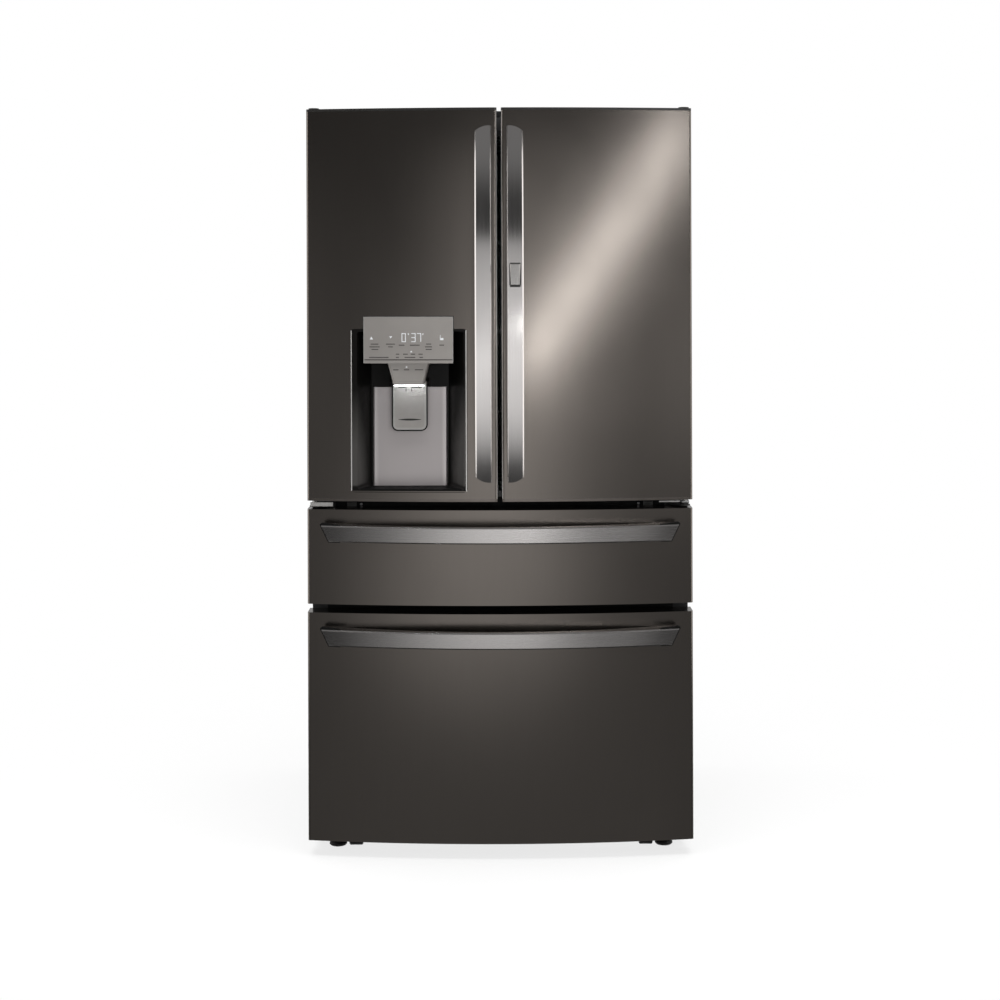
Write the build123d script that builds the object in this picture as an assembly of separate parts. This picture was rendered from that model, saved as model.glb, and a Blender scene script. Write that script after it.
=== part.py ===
"""French door refrigerator as an assembly of separate pieces, in millimetres.

+X is the viewer's right, the doors face -Y and +Z is up. The origin is on the floor, in the
middle of the footprint. Every piece is drawn where it stands with all doors and drawers closed.
"""

import math
import os

from build123d import *

os.makedirs("parts", exist_ok=True)

# Overall size
FRONT_WIDTH = 908
FRONT_OVERHANG = 5
OVERALL_DEPTH = 921
CASE_BOTTOM = 50

# Heights of the doors and drawer fronts, from the floor up
FREEZER_BOTTOM = 37
FREEZER_HEIGHT = 537
MIDDLE_HEIGHT = 223
DOOR_HEIGHT = 922
FRONT_GAP = 20
DOOR_GAP = 10
DOOR_RISE = 14

# Depths, from the handle face to the back
HANDLE_REACH = 64
BULGE = 38
EDGE_THICKNESS = 61
GASKET_SPACE = 12

# Sheet, walls and fits
SKIN = 1.5
SHEET = 2
LINER = 2.5
EDGE_ROUND = 6
GLUE_GAP = 0.2
SEAL_GAP = 0.3
RUN_GAP = 0.4
PIN_FIT = 0.05
PAST = 2

# Places that follow from the sizes above
HALF_FRONT = FRONT_WIDTH / 2
CASE_WIDTH = FRONT_WIDTH - 2 * FRONT_OVERHANG
HALF_CASE = CASE_WIDTH / 2
HANDLE_FACE = -OVERALL_DEPTH / 2
CASE_BACK = OVERALL_DEPTH / 2
FRONT_CENTRE = HANDLE_FACE + HANDLE_REACH
FRONT_CORNER = FRONT_CENTRE + BULGE
DOOR_REAR = FRONT_CORNER + EDGE_THICKNESS
CASE_FRONT = DOOR_REAR + GASKET_SPACE
FREEZER_TOP = FREEZER_BOTTOM + FREEZER_HEIGHT
MIDDLE_BOTTOM = FREEZER_TOP + FRONT_GAP
MIDDLE_TOP = MIDDLE_BOTTOM + MIDDLE_HEIGHT
DOOR_BOTTOM = MIDDLE_TOP + FRONT_GAP
DOOR_TOP = DOOR_BOTTOM + DOOR_HEIGHT
CASE_TOP = DOOR_TOP - DOOR_RISE
DOOR_EDGE = DOOR_GAP / 2
BOW_RADIUS = (HALF_FRONT**2 + BULGE**2) / (2 * BULGE)
BOW_CENTRE = FRONT_CENTRE + BOW_RADIUS

# Compartments
SIDE_WALL = 50
TOP_WALL = 45
REAR_WALL = 65
FLANGE = 14
MIDDLE_HEAD = 22
FREEZER_HEAD = 21
FREEZER_SILL = 56
CAVITY_HALF = HALF_CASE - SIDE_WALL
FRIDGE_FLOOR = DOOR_BOTTOM + FLANGE
FRIDGE_CEILING = CASE_TOP - TOP_WALL
MIDDLE_FLOOR = MIDDLE_BOTTOM + FLANGE
MIDDLE_CEILING = MIDDLE_TOP - MIDDLE_HEAD
FREEZER_FLOOR = FREEZER_BOTTOM + FREEZER_SILL
FREEZER_CEILING = FREEZER_TOP - FREEZER_HEAD
FLANGE_HALF = CAVITY_HALF + FLANGE
CAVITY_BACK = CASE_BACK - REAR_WALL

# Door hinge line, the same for the left and the right door
HINGE_INSET = 16
HINGE_SETBACK = 20
HINGE_X = HALF_FRONT - HINGE_INSET
HINGE_Y = FRONT_CORNER + HINGE_SETBACK
PIN_RADIUS = 5
HINGE_PLATE = 3
HINGE_BOSS = 12

# Right door, which is an outer door closing on an inner frame
OUTER_EDGE = 34
OUTER_SEAL = 8.5
OUTER_REAR = FRONT_CORNER + OUTER_EDGE
INNER_FRONT = OUTER_REAR + OUTER_SEAL


def save(name, *solids):
    """Write one node; several solids in it stay separate."""
    found = [solid for shape in solids for solid in shape.solids()]
    shape = found[0] if len(found) == 1 else Compound(children=found)
    shape.label = name
    export_step(shape, f"parts/{name}.step")


def block(x0, x1, y0, y1, z0, z1):
    """A plain block between the given limits."""
    return Pos((x0 + x1) / 2, (y0 + y1) / 2, (z0 + z1) / 2) * Box(x1 - x0, y1 - y0, z1 - z0)


def rounded(width, height, radius):
    """A rectangle, with rounded corners if a radius is given."""
    return RectangleRounded(width, height, radius) if radius else Rectangle(width, height)


def upright(x0, x1, z0, z1, y0, y1, radius=0):
    """A plate that shows a rounded rectangle to the front, from y0 to y1."""
    outline = Pos((x0 + x1) / 2, y1, (z0 + z1) / 2) * (Plane.XZ * rounded(x1 - x0, z1 - z0, radius))
    return extrude(outline, amount=y1 - y0)


def flat(x0, x1, y0, y1, z0, z1, radius=0):
    """A plate that shows a rounded rectangle from above, from z0 to z1."""
    outline = Pos((x0 + x1) / 2, (y0 + y1) / 2, z0) * rounded(x1 - x0, y1 - y0, radius)
    return extrude(outline, amount=z1 - z0)


def rod_x(radius, x0, x1, y, z):
    """A round bar along X."""
    return Pos((x0 + x1) / 2, y, z) * (Rot(0, 90, 0) * Cylinder(radius, x1 - x0))


def rod_z(radius, x, y, z0, z1):
    """A round bar along Z."""
    return Pos(x, y, (z0 + z1) / 2) * Cylinder(radius, z1 - z0)


def mirrored(shape):
    """The same piece on the other side of the middle plane."""
    return mirror(shape, about=Plane.YZ)


def frame_upright(x0, x1, z0, z1, y0, y1, width, radius):
    """A rectangular ring that faces the front, such as a gasket."""
    ring = upright(x0, x1, z0, z1, y0, y1, radius)
    hole = upright(x0 + width, x1 - width, z0 + width, z1 - width, y0 - PAST, y1 + PAST, radius / 2)
    return ring - hole


def open_bin(x0, x1, y0, y1, z0, z1, wall, radius):
    """A moulded bin: rounded outline, even wall and floor, open at the top."""
    inside = flat(x0 + wall, x1 - wall, y0 + wall, y1 - wall, z0 + wall, z1 + PAST, radius - wall)
    return flat(x0, x1, y0, y1, z0, z1, radius) - inside


def bow_y(x, inset=0):
    """Y of the bowed front at a given X, moved inwards by the inset."""
    return BOW_CENTRE - math.sqrt((BOW_RADIUS - inset) ** 2 - x**2)


def bowed(x0, x1, back, z0, z1, inset=0, corner=0):
    """A slab with straight sides and back and the common bowed front."""
    middle = (x0 + x1) / 2
    left_front = (x0, bow_y(x0, inset))
    right_front = (x1, bow_y(x1, inset))
    sides = Polyline(left_front, (x0, back), (x1, back), right_front)
    front = ThreePointArc(right_front, (middle, bow_y(middle, inset)), left_front)
    plan = make_face([*sides.edges(), front])
    if corner:
        plan = fillet(plan.vertices().sort_by(Axis.Y)[:2], corner)
    return extrude(Pos(0, 0, z0) * plan, amount=z1 - z0)


# Cabinet wrapper: one sheet bent over both sides and the top, with a flange turned in at the front
WRAPPER_ROUND = 8
REAR_SHEET_FRONT = CASE_BACK - SHEET
MACHINE_HEIGHT = 255
MACHINE_TOP = CASE_BOTTOM + MACHINE_HEIGHT

wrapper = upright(-HALF_CASE, HALF_CASE, CASE_BOTTOM, CASE_TOP, CASE_FRONT, REAR_SHEET_FRONT)
wrapper = fillet(wrapper.edges().filter_by(Axis.Y).group_by(Axis.Z)[-1], WRAPPER_ROUND)
hollow = upright(
    -HALF_CASE + SKIN, HALF_CASE - SKIN, CASE_BOTTOM - PAST, CASE_TOP - SKIN,
    CASE_FRONT + SKIN, REAR_SHEET_FRONT + PAST,
)
mouth = block(
    -FLANGE_HALF, FLANGE_HALF, CASE_FRONT - PAST, CASE_FRONT + 2 * SKIN,
    CASE_BOTTOM - PAST, FRIDGE_CEILING + FLANGE,
)
save("cabinet_shell", wrapper - hollow - mouth)

# Rear panel and the louvred cover of the machine compartment under it
save("rear_panel", upright(-HALF_CASE, HALF_CASE, MACHINE_TOP, CASE_TOP, REAR_SHEET_FRONT, CASE_BACK))

LOUVRE_LENGTH = 120
LOUVRE_HEIGHT = 8
LOUVRE_ROWS = 7
LOUVRE_PITCH = 24
LOUVRE_COLUMNS = 5
COLUMN_PITCH = 150

machine_cover = upright(
    -HALF_CASE, HALF_CASE, CASE_BOTTOM, MACHINE_TOP, REAR_SHEET_FRONT, CASE_BACK
)
louvre_bottom = (CASE_BOTTOM + MACHINE_TOP - (LOUVRE_ROWS - 1) * LOUVRE_PITCH - LOUVRE_HEIGHT) / 2
for number in range(LOUVRE_COLUMNS):
    column = (number - (LOUVRE_COLUMNS - 1) / 2) * COLUMN_PITCH
    for row in range(LOUVRE_ROWS):
        low = louvre_bottom + row * LOUVRE_PITCH
        machine_cover -= upright(
            column - LOUVRE_LENGTH / 2, column + LOUVRE_LENGTH / 2, low, low + LOUVRE_HEIGHT,
            REAR_SHEET_FRONT - PAST, CASE_BACK + PAST,
        )
save("machine_cover", machine_cover)

# Fridge compartment liner: a moulded tub with a front flange and ledges for the shelves
LINER_ROUND = 18
SHELF_SETBACK = 180
SHELF_REAR_GAP = 30
SHELF_RISES = (174, 374, 594)
SHELF_GLASS = 5
SHELF_FRONT = CASE_FRONT + SHELF_SETBACK
SHELF_BACK = CAVITY_BACK - SHELF_REAR_GAP
SHELF_LEVELS = [FRIDGE_FLOOR + rise for rise in SHELF_RISES]
LEDGE_REACH = 12
LEDGE_HEIGHT = 8


def tub(floor, ceiling, back):
    """A liner open at the front, with a flange round its mouth."""
    body = upright(
        -CAVITY_HALF - LINER, CAVITY_HALF + LINER, floor - LINER, ceiling + LINER,
        CASE_FRONT, back + LINER, LINER_ROUND + LINER,
    )
    rim = upright(
        -FLANGE_HALF, FLANGE_HALF, floor - FLANGE, ceiling + FLANGE, CASE_FRONT, CASE_FRONT + LINER
    )
    inside = upright(
        -CAVITY_HALF, CAVITY_HALF, floor, ceiling, CASE_FRONT - PAST, back, LINER_ROUND
    )
    return body + rim - inside


fridge_liner = tub(FRIDGE_FLOOR, FRIDGE_CEILING, CAVITY_BACK)
for level in SHELF_LEVELS:
    ledge = block(
        CAVITY_HALF - LEDGE_REACH, CAVITY_HALF + LINER / 2, SHELF_FRONT, SHELF_BACK,
        level - LEDGE_HEIGHT, level,
    )
    fridge_liner = fridge_liner + ledge + mirrored(ledge)
save("fridge_liner", fridge_liner)

# Middle drawer liner
MIDDLE_SETBACK = 65
MIDDLE_BACK = CAVITY_BACK - MIDDLE_SETBACK
save("middle_liner", tub(MIDDLE_FLOOR, MIDDLE_CEILING, MIDDLE_BACK))

# Freezer liner: its floor steps up at the rear to leave room for the machine compartment
STEP_DEPTH = 205
STEP_RUN = 45
STEP_RISE = 174
STEP_START = CAVITY_BACK - STEP_DEPTH
STEP_END = STEP_START + STEP_RUN
STEP_TOP = FREEZER_FLOOR + STEP_RISE


def freezer_profile(grow):
    """Side outline of the freezer hollow, grown outwards by a wall."""
    outline = Polyline(
        (CASE_FRONT, FREEZER_FLOOR - grow),
        (STEP_START + grow, FREEZER_FLOOR - grow),
        (STEP_END + grow, STEP_TOP - grow),
        (CAVITY_BACK + grow, STEP_TOP - grow),
        (CAVITY_BACK + grow, FREEZER_CEILING + grow),
        (CASE_FRONT, FREEZER_CEILING + grow),
        close=True,
    )
    return Plane.YZ * make_face(outline.edges())


freezer_body = extrude(freezer_profile(LINER), amount=CAVITY_HALF + LINER, both=True)
freezer_rim = upright(
    -FLANGE_HALF, FLANGE_HALF, FREEZER_FLOOR - FLANGE, FREEZER_CEILING + FLANGE,
    CASE_FRONT, CASE_FRONT + LINER,
)
freezer_hollow = extrude(freezer_profile(0), amount=CAVITY_HALF, both=True)
freezer_mouth = block(
    -CAVITY_HALF, CAVITY_HALF, CASE_FRONT - PAST, CASE_FRONT + PAST, FREEZER_FLOOR, FREEZER_CEILING
)
save("freezer_liner", freezer_body + freezer_rim - freezer_hollow - freezer_mouth)

# Cross rails: bent steel channels that close the front between the liners
RAIL_DEPTH = 24


def cross_rail(low, high):
    """A channel along X whose web is part of the case front."""
    channel = block(-FLANGE_HALF, FLANGE_HALF, CASE_FRONT, CASE_FRONT + RAIL_DEPTH, low, high)
    inside = block(
        -FLANGE_HALF - PAST, FLANGE_HALF + PAST, CASE_FRONT + SHEET, CASE_FRONT + RAIL_DEPTH + PAST,
        low + SHEET, high - SHEET,
    )
    return channel - inside


UPPER_RAIL_LOW = MIDDLE_CEILING + FLANGE
UPPER_RAIL_HIGH = FRIDGE_FLOOR - FLANGE
LOWER_RAIL_LOW = FREEZER_CEILING + FLANGE
LOWER_RAIL_HIGH = MIDDLE_FLOOR - FLANGE
save(
    "divider_rails",
    cross_rail(UPPER_RAIL_LOW, UPPER_RAIL_HIGH),
    cross_rail(LOWER_RAIL_LOW, LOWER_RAIL_HIGH),
)

# Top hinges: a cranked plate on the case that reaches over the door, with the hinge pin under it
HINGE_BASE_REACH = 52
HINGE_BASE_LENGTH = 135
HINGE_EDGE = 1
RISER_REACH = 8
HINGE_BASE_INNER = HINGE_X - HINGE_BASE_REACH
HINGE_BASE_OUTER = HALF_CASE - HINGE_EDGE
HINGE_BASE_BACK = CASE_FRONT + HINGE_BASE_LENGTH
HINGE_CLEAR = 0.8
ARM_LOW = DOOR_TOP + HINGE_CLEAR
ARM_HIGH = ARM_LOW + HINGE_PLATE
RISER_FRONT = CASE_FRONT - RISER_REACH
TOP_PIN_LENGTH = 42

hinge_base = flat(
    HINGE_BASE_INNER, HINGE_BASE_OUTER, CASE_FRONT, HINGE_BASE_BACK, CASE_TOP, CASE_TOP + HINGE_PLATE
)
hinge_foot = block(
    HINGE_X - HINGE_BOSS, HINGE_BASE_OUTER, RISER_FRONT, CASE_FRONT + PAST,
    CASE_TOP, CASE_TOP + HINGE_PLATE,
)
hinge_riser = block(
    HINGE_X - HINGE_BOSS, HINGE_BASE_OUTER, RISER_FRONT, RISER_FRONT + HINGE_PLATE, CASE_TOP, ARM_HIGH
)
hinge_arm = block(
    HINGE_X - HINGE_BOSS, HINGE_X + HINGE_BOSS - HINGE_EDGE, HINGE_Y, RISER_FRONT + HINGE_PLATE,
    ARM_LOW, ARM_HIGH,
)
hinge_eye = rod_z(HINGE_BOSS, HINGE_X, HINGE_Y, ARM_LOW, ARM_HIGH)
top_pin = rod_z(PIN_RADIUS, HINGE_X, HINGE_Y, DOOR_TOP - TOP_PIN_LENGTH, ARM_HIGH)
top_hinge = hinge_base + hinge_foot + hinge_riser + hinge_arm + hinge_eye + top_pin

# Middle hinges: an angle on the cross rail with a plate under the door and a pin standing on it
MIDDLE_PLATE_CLEAR = 4
BOTTOM_PIN_LENGTH = 15
ANGLE_REACH = 44
ANGLE_EDGE = 3
LEAF_EDGE = 2
MIDDLE_PLATE_LOW = MIDDLE_TOP + MIDDLE_PLATE_CLEAR
MIDDLE_PLATE_HIGH = MIDDLE_PLATE_LOW + HINGE_PLATE
ANGLE_INNER = HINGE_X - ANGLE_REACH
ANGLE_OUTER = HALF_CASE - ANGLE_EDGE

angle_leaf = upright(
    ANGLE_INNER, ANGLE_OUTER, UPPER_RAIL_LOW + LEAF_EDGE, UPPER_RAIL_HIGH - LEAF_EDGE,
    CASE_FRONT - HINGE_PLATE, CASE_FRONT,
)
plate_outline = make_face(
    Polyline(
        (ANGLE_INNER, CASE_FRONT - PAST / 2),
        (ANGLE_OUTER, CASE_FRONT - PAST / 2),
        (HINGE_X + HINGE_BOSS - HINGE_EDGE, HINGE_Y),
        (HINGE_X - HINGE_BOSS, HINGE_Y),
        close=True,
    ).edges()
)
angle_plate = extrude(Pos(0, 0, MIDDLE_PLATE_LOW) * plate_outline, amount=HINGE_PLATE)
angle_eye = rod_z(HINGE_BOSS, HINGE_X, HINGE_Y, MIDDLE_PLATE_LOW, MIDDLE_PLATE_HIGH)
bottom_pin = rod_z(PIN_RADIUS, HINGE_X, HINGE_Y, MIDDLE_PLATE_LOW, DOOR_BOTTOM + BOTTOM_PIN_LENGTH)
middle_hinge = angle_leaf + angle_plate + angle_eye + bottom_pin
save("door_hinges", top_hinge, mirrored(top_hinge), middle_hinge, mirrored(middle_hinge))

# Hinge covers: thin moulded caps over the plates on the case
COVER_RISE = 5
COVER_TOP = DOOR_TOP + COVER_RISE
COVER_WALL = 2
COVER_ROUND = 5

hinge_cover = flat(
    HINGE_BASE_INNER, HINGE_BASE_OUTER, CASE_FRONT, HINGE_BASE_BACK,
    CASE_TOP + HINGE_PLATE, COVER_TOP, COVER_ROUND,
)
hinge_cover = fillet(hinge_cover.faces().sort_by(Axis.Z)[-1].edges(), COVER_WALL)
hinge_cover -= flat(
    HINGE_BASE_INNER + COVER_WALL, HINGE_BASE_OUTER - COVER_WALL, CASE_FRONT + COVER_WALL,
    HINGE_BASE_BACK - COVER_WALL, CASE_TOP, COVER_TOP - COVER_WALL, COVER_ROUND - COVER_WALL,
)
save("hinge_covers", hinge_cover, mirrored(hinge_cover))

# Base frame: a folded tray with bushes for the legs and ears for the rollers
BASE_SHEET = 3
BASE_HALF = HALF_CASE - SKIN
BASE_FRONT = CASE_FRONT + SKIN
BASE_PLATE_TOP = CASE_BOTTOM + BASE_SHEET
SIDE_FLANGE = 18
LEG_INSET = 58
LEG_SETBACK = 18
LEG_X = HALF_CASE - LEG_INSET
LEG_Y = CASE_FRONT + LEG_SETBACK
LEG_RADIUS = 8
BUSH_RADIUS = 15
BUSH_DEPTH = 12
ROLLER_AXLE = 4
EAR_SHEET = 3
EAR_HALF = 12
WHEEL_WIDTH = 32
WHEEL_SIDE_GAP = 1
WHEEL_CHAMFER = 2
WHEEL_SPACING = 44
FRONT_WHEEL_SETBACK = 14
FRONT_WHEEL_RADIUS = 21
FRONT_WHEEL_LIFT = 1
REAR_WHEEL_INSET = 69
REAR_WHEEL_SETBACK = 55
REAR_WHEEL_RADIUS = 22
FRONT_WHEEL_X = LEG_X - WHEEL_SPACING
FRONT_WHEEL_Y = CASE_FRONT + FRONT_WHEEL_SETBACK
REAR_WHEEL_X = HALF_CASE - REAR_WHEEL_INSET
REAR_WHEEL_Y = REAR_SHEET_FRONT - REAR_WHEEL_SETBACK


def roller_ears(x, y, z):
    """Two plates hanging from the base beside a wheel, with a hole for its axle."""
    ears = None
    for side in (-1, 1):
        near = x + side * (WHEEL_WIDTH / 2 + WHEEL_SIDE_GAP)
        far = near + side * EAR_SHEET
        x0, x1 = min(near, far), max(near, far)
        ear = block(x0, x1, y - EAR_HALF, y + EAR_HALF, z, CASE_BOTTOM + PAST)
        ear += rod_x(EAR_HALF, x0, x1, y, z)
        ear -= rod_x(ROLLER_AXLE + PIN_FIT, x0 - PAST, x1 + PAST, y, z)
        ears = ear if ears is None else ears + ear
    return ears


base_plate = block(
    -BASE_HALF, BASE_HALF, BASE_FRONT, REAR_SHEET_FRONT, CASE_BOTTOM, BASE_PLATE_TOP
)
side_flange = block(
    BASE_HALF - BASE_SHEET, BASE_HALF, BASE_FRONT, REAR_SHEET_FRONT,
    CASE_BOTTOM - SIDE_FLANGE, CASE_BOTTOM + PAST,
)
leg_bush = rod_z(BUSH_RADIUS, LEG_X, LEG_Y, CASE_BOTTOM - BUSH_DEPTH, BASE_PLATE_TOP)
apron = block(
    -BASE_HALF, BASE_HALF, BASE_FRONT, BASE_FRONT + BASE_SHEET,
    CASE_BOTTOM, FREEZER_FLOOR - FLANGE,
)
front_ears = roller_ears(FRONT_WHEEL_X, FRONT_WHEEL_Y, FRONT_WHEEL_RADIUS + FRONT_WHEEL_LIFT)
rear_ears = roller_ears(REAR_WHEEL_X, REAR_WHEEL_Y, REAR_WHEEL_RADIUS)
base_half_set = side_flange + leg_bush + front_ears + rear_ears
leg_bore = rod_z(
    LEG_RADIUS + PIN_FIT, LEG_X, LEG_Y, CASE_BOTTOM - BUSH_DEPTH - PAST, BASE_PLATE_TOP + PAST
)
base_frame = base_plate + apron + base_half_set + mirrored(base_half_set)
save("base_frame", base_frame - leg_bore - mirrored(leg_bore))

# Levelling legs: a turned foot with a hexagon for the spanner and a stud in the bush
FOOT_RADIUS = 21
FOOT_HEIGHT = 9
FOOT_CHAMFER = 3
HEXAGON_RADIUS = 14
HEXAGON_TOP = 22
STUD_RISE = 22
STUD_TOP = BASE_PLATE_TOP + STUD_RISE

foot = chamfer(rod_z(FOOT_RADIUS, LEG_X, LEG_Y, 0, FOOT_HEIGHT).edges(), FOOT_CHAMFER)
hexagon_outline = Pos(LEG_X, LEG_Y, FOOT_HEIGHT) * RegularPolygon(HEXAGON_RADIUS, 6)
hexagon = extrude(hexagon_outline, amount=HEXAGON_TOP - FOOT_HEIGHT)
stud = rod_z(LEG_RADIUS, LEG_X, LEG_Y, FOOT_HEIGHT, STUD_TOP)
leg = foot + hexagon + stud
save("leg_right", leg)
save("leg_left", mirrored(leg))


def roller(x, y, z, radius):
    """A wheel with broken rims and a stub axle moulded on each side."""
    half = WHEEL_WIDTH / 2
    wheel = rod_x(radius, x - half, x + half, y, z)
    wheel = chamfer(wheel.edges(), WHEEL_CHAMFER)
    reach = half + WHEEL_SIDE_GAP + EAR_SHEET
    return wheel + rod_x(ROLLER_AXLE, x - reach, x + reach, y, z)


front_roller = roller(
    FRONT_WHEEL_X, FRONT_WHEEL_Y, FRONT_WHEEL_RADIUS + FRONT_WHEEL_LIFT, FRONT_WHEEL_RADIUS
)
rear_roller = roller(REAR_WHEEL_X, REAR_WHEEL_Y, REAR_WHEEL_RADIUS, REAR_WHEEL_RADIUS)
save("front_rollers", front_roller, mirrored(front_roller))
save("rear_rollers", rear_roller, mirrored(rear_roller))

# Compressor: a welded can with a domed lid on a foot plate
MACHINE_SHIFT = 6
COMPRESSOR_INSET = 249
COMPRESSOR_RADIUS = 76
COMPRESSOR_HEIGHT = 150
COMPRESSOR_LIFT = 10
DOME_FLAT = 34
DOME_SHOULDER = 64
DOME_SLOPE = 12
DOME_DROP = 42
FOOT_PLATE_ROUND = 15
MACHINE_Y = (STEP_END + REAR_SHEET_FRONT) / 2 + MACHINE_SHIFT
COMPRESSOR_X = HALF_CASE - COMPRESSOR_INSET

can_profile = Polyline(
    (0, 0),
    (COMPRESSOR_RADIUS, 0),
    (COMPRESSOR_RADIUS, COMPRESSOR_HEIGHT - DOME_DROP),
    (DOME_SHOULDER, COMPRESSOR_HEIGHT - DOME_SLOPE),
    (DOME_FLAT, COMPRESSOR_HEIGHT),
    (0, COMPRESSOR_HEIGHT),
    close=True,
)
can = revolve(Plane.XZ * make_face(can_profile.edges()), Axis.Z)
can = Pos(COMPRESSOR_X, MACHINE_Y, BASE_PLATE_TOP + COMPRESSOR_LIFT) * can
foot_plate = flat(
    COMPRESSOR_X - COMPRESSOR_RADIUS, COMPRESSOR_X + COMPRESSOR_RADIUS,
    MACHINE_Y - COMPRESSOR_RADIUS, MACHINE_Y + COMPRESSOR_RADIUS,
    BASE_PLATE_TOP, BASE_PLATE_TOP + COMPRESSOR_LIFT, FOOT_PLATE_ROUND,
)
save("compressor", can + foot_plate)

# Condenser: fins on tubes, and beside it the shroud that carries the fan motor
FIN_SHEET = 2
CONDENSER_INSET = 47.5
CONDENSER_FINS = 9
CONDENSER_PITCH = 18
CONDENSER_HALF = 75
CONDENSER_HEIGHT = 165
TUBE_RADIUS = 5
TUBE_END = 10
TUBE_SPREAD = 50
FAN_RADIUS = 62
FAN_CLEAR = 4
FAN_STANDOFF = 40
SHROUD_DEPTH = 20
SHAFT_RADIUS = 4
SHAFT_REACH = 10
MOTOR_RADIUS = 20
MOTOR_LENGTH = 32
ARM_HALF_THICK = 4
ARM_HALF_HEIGHT = 8
CONDENSER_LEFT = -BASE_HALF + CONDENSER_INSET
CONDENSER_LOW = BASE_PLATE_TOP
CONDENSER_HIGH = BASE_PLATE_TOP + CONDENSER_HEIGHT
FAN_X = CONDENSER_LEFT + CONDENSER_FINS * CONDENSER_PITCH + FAN_STANDOFF
FAN_Z = (CONDENSER_LOW + CONDENSER_HIGH) / 2


def fin_stack(first, count, pitch, y0, y1, z0, z1, tube_spread):
    """Upright fins in a row along X, joined by flat-sided tubes that run through them."""
    last = first + (count - 1) * pitch + FIN_SHEET
    tube_length = last - first + 2 * TUBE_END
    tube = Rot(0, 90, 0) * extrude(RegularPolygon(TUBE_RADIUS, 6), amount=tube_length)
    stack = None
    for row in (-1, 0, 1):
        height = (z0 + z1) / 2 + row * tube_spread
        placed = Pos(first - TUBE_END, (y0 + y1) / 2, height) * tube
        stack = placed if stack is None else stack + placed
    for number in range(count):
        fin_x = first + number * pitch
        stack = stack + block(fin_x, fin_x + FIN_SHEET, y0, y1, z0, z1)
    return stack


condenser = fin_stack(
    CONDENSER_LEFT, CONDENSER_FINS, CONDENSER_PITCH,
    MACHINE_Y - CONDENSER_HALF, MACHINE_Y + CONDENSER_HALF, CONDENSER_LOW, CONDENSER_HIGH, TUBE_SPREAD,
)
shroud = upright(
    FAN_X - SHROUD_DEPTH, FAN_X + SHROUD_DEPTH, CONDENSER_LOW, CONDENSER_HIGH,
    MACHINE_Y - CONDENSER_HALF, MACHINE_Y + CONDENSER_HALF,
)
shroud -= rod_x(
    FAN_RADIUS + FAN_CLEAR, FAN_X - SHROUD_DEPTH - PAST, FAN_X + SHROUD_DEPTH + PAST, MACHINE_Y, FAN_Z
)
arm_x = FAN_X + SHROUD_DEPTH
motor_arm = block(
    arm_x - ARM_HALF_THICK, arm_x + ARM_HALF_THICK, MACHINE_Y - CONDENSER_HALF,
    MACHINE_Y + CONDENSER_HALF, FAN_Z - ARM_HALF_HEIGHT, FAN_Z + ARM_HALF_HEIGHT,
)
motor = rod_x(MOTOR_RADIUS, arm_x - ARM_HALF_THICK, arm_x + MOTOR_LENGTH, MACHINE_Y, FAN_Z)
shaft = rod_x(SHAFT_RADIUS, FAN_X - SHAFT_REACH, arm_x, MACHINE_Y, FAN_Z)
save("condenser", condenser)
save("fan_shroud", shroud + motor_arm + motor + shaft)

# Condenser fan: five pitched blades on a hub
BLADES = 5
HUB_RADIUS = 17
HUB_HALF = 12
BLADE_ROOT = 4
BLADE_SHEET = 2.5
BLADE_WIDTH = 30
BLADE_ANGLE = 32

fan = rod_x(HUB_RADIUS, -HUB_HALF, HUB_HALF, 0, 0)
blade_length = FAN_RADIUS - HUB_RADIUS + BLADE_ROOT
blade = Box(BLADE_SHEET, BLADE_WIDTH, blade_length)
for number in range(BLADES):
    blade_middle = HUB_RADIUS - BLADE_ROOT + blade_length / 2
    set_blade = Pos(0, 0, blade_middle) * (Rot(0, 0, BLADE_ANGLE) * blade)
    fan = fan + Rot(number * 360 / BLADES, 0, 0) * set_blade
fan -= rod_x(SHAFT_RADIUS + PIN_FIT, -HUB_HALF - PAST, HUB_HALF + PAST, 0, 0)
save("condenser_fan", Pos(FAN_X, MACHINE_Y, FAN_Z) * fan)

# Evaporator on the freezer's rear wall, behind a slotted cover
EVAPORATOR_SIDE = 159
EVAPORATOR_FINS = 13
EVAPORATOR_DEPTH = 26
EVAPORATOR_FOOT = 30
EVAPORATOR_HEAD = 40
EVAPORATOR_SPREAD = 60
COVER_SIDE = 69
COVER_SHEET = 3
COVER_SLOTS = 7
SLOT_PITCH = 80
SLOT_LENGTH = 50
SLOT_HEIGHT = 10
SLOT_DROP = 40
EVAPORATOR_HALF = CAVITY_HALF - EVAPORATOR_SIDE
EVAPORATOR_LOW = STEP_TOP + EVAPORATOR_FOOT
EVAPORATOR_HIGH = FREEZER_CEILING - EVAPORATOR_HEAD
COVER_HALF = CAVITY_HALF - COVER_SIDE
evaporator_front = CAVITY_BACK - EVAPORATOR_DEPTH
evaporator = fin_stack(
    -EVAPORATOR_HALF, EVAPORATOR_FINS, 2 * EVAPORATOR_HALF / (EVAPORATOR_FINS - 1),
    evaporator_front, CAVITY_BACK, EVAPORATOR_LOW, EVAPORATOR_HIGH, EVAPORATOR_SPREAD,
)
evaporator_cover = upright(
    -COVER_HALF, COVER_HALF, STEP_TOP, FREEZER_CEILING,
    evaporator_front - COVER_SHEET, CAVITY_BACK, 0,
)
evaporator_cover -= upright(
    -COVER_HALF + COVER_SHEET, COVER_HALF - COVER_SHEET, STEP_TOP + COVER_SHEET,
    FREEZER_CEILING - COVER_SHEET, evaporator_front, CAVITY_BACK + PAST,
)
slot_low = FREEZER_CEILING - SLOT_DROP
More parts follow.
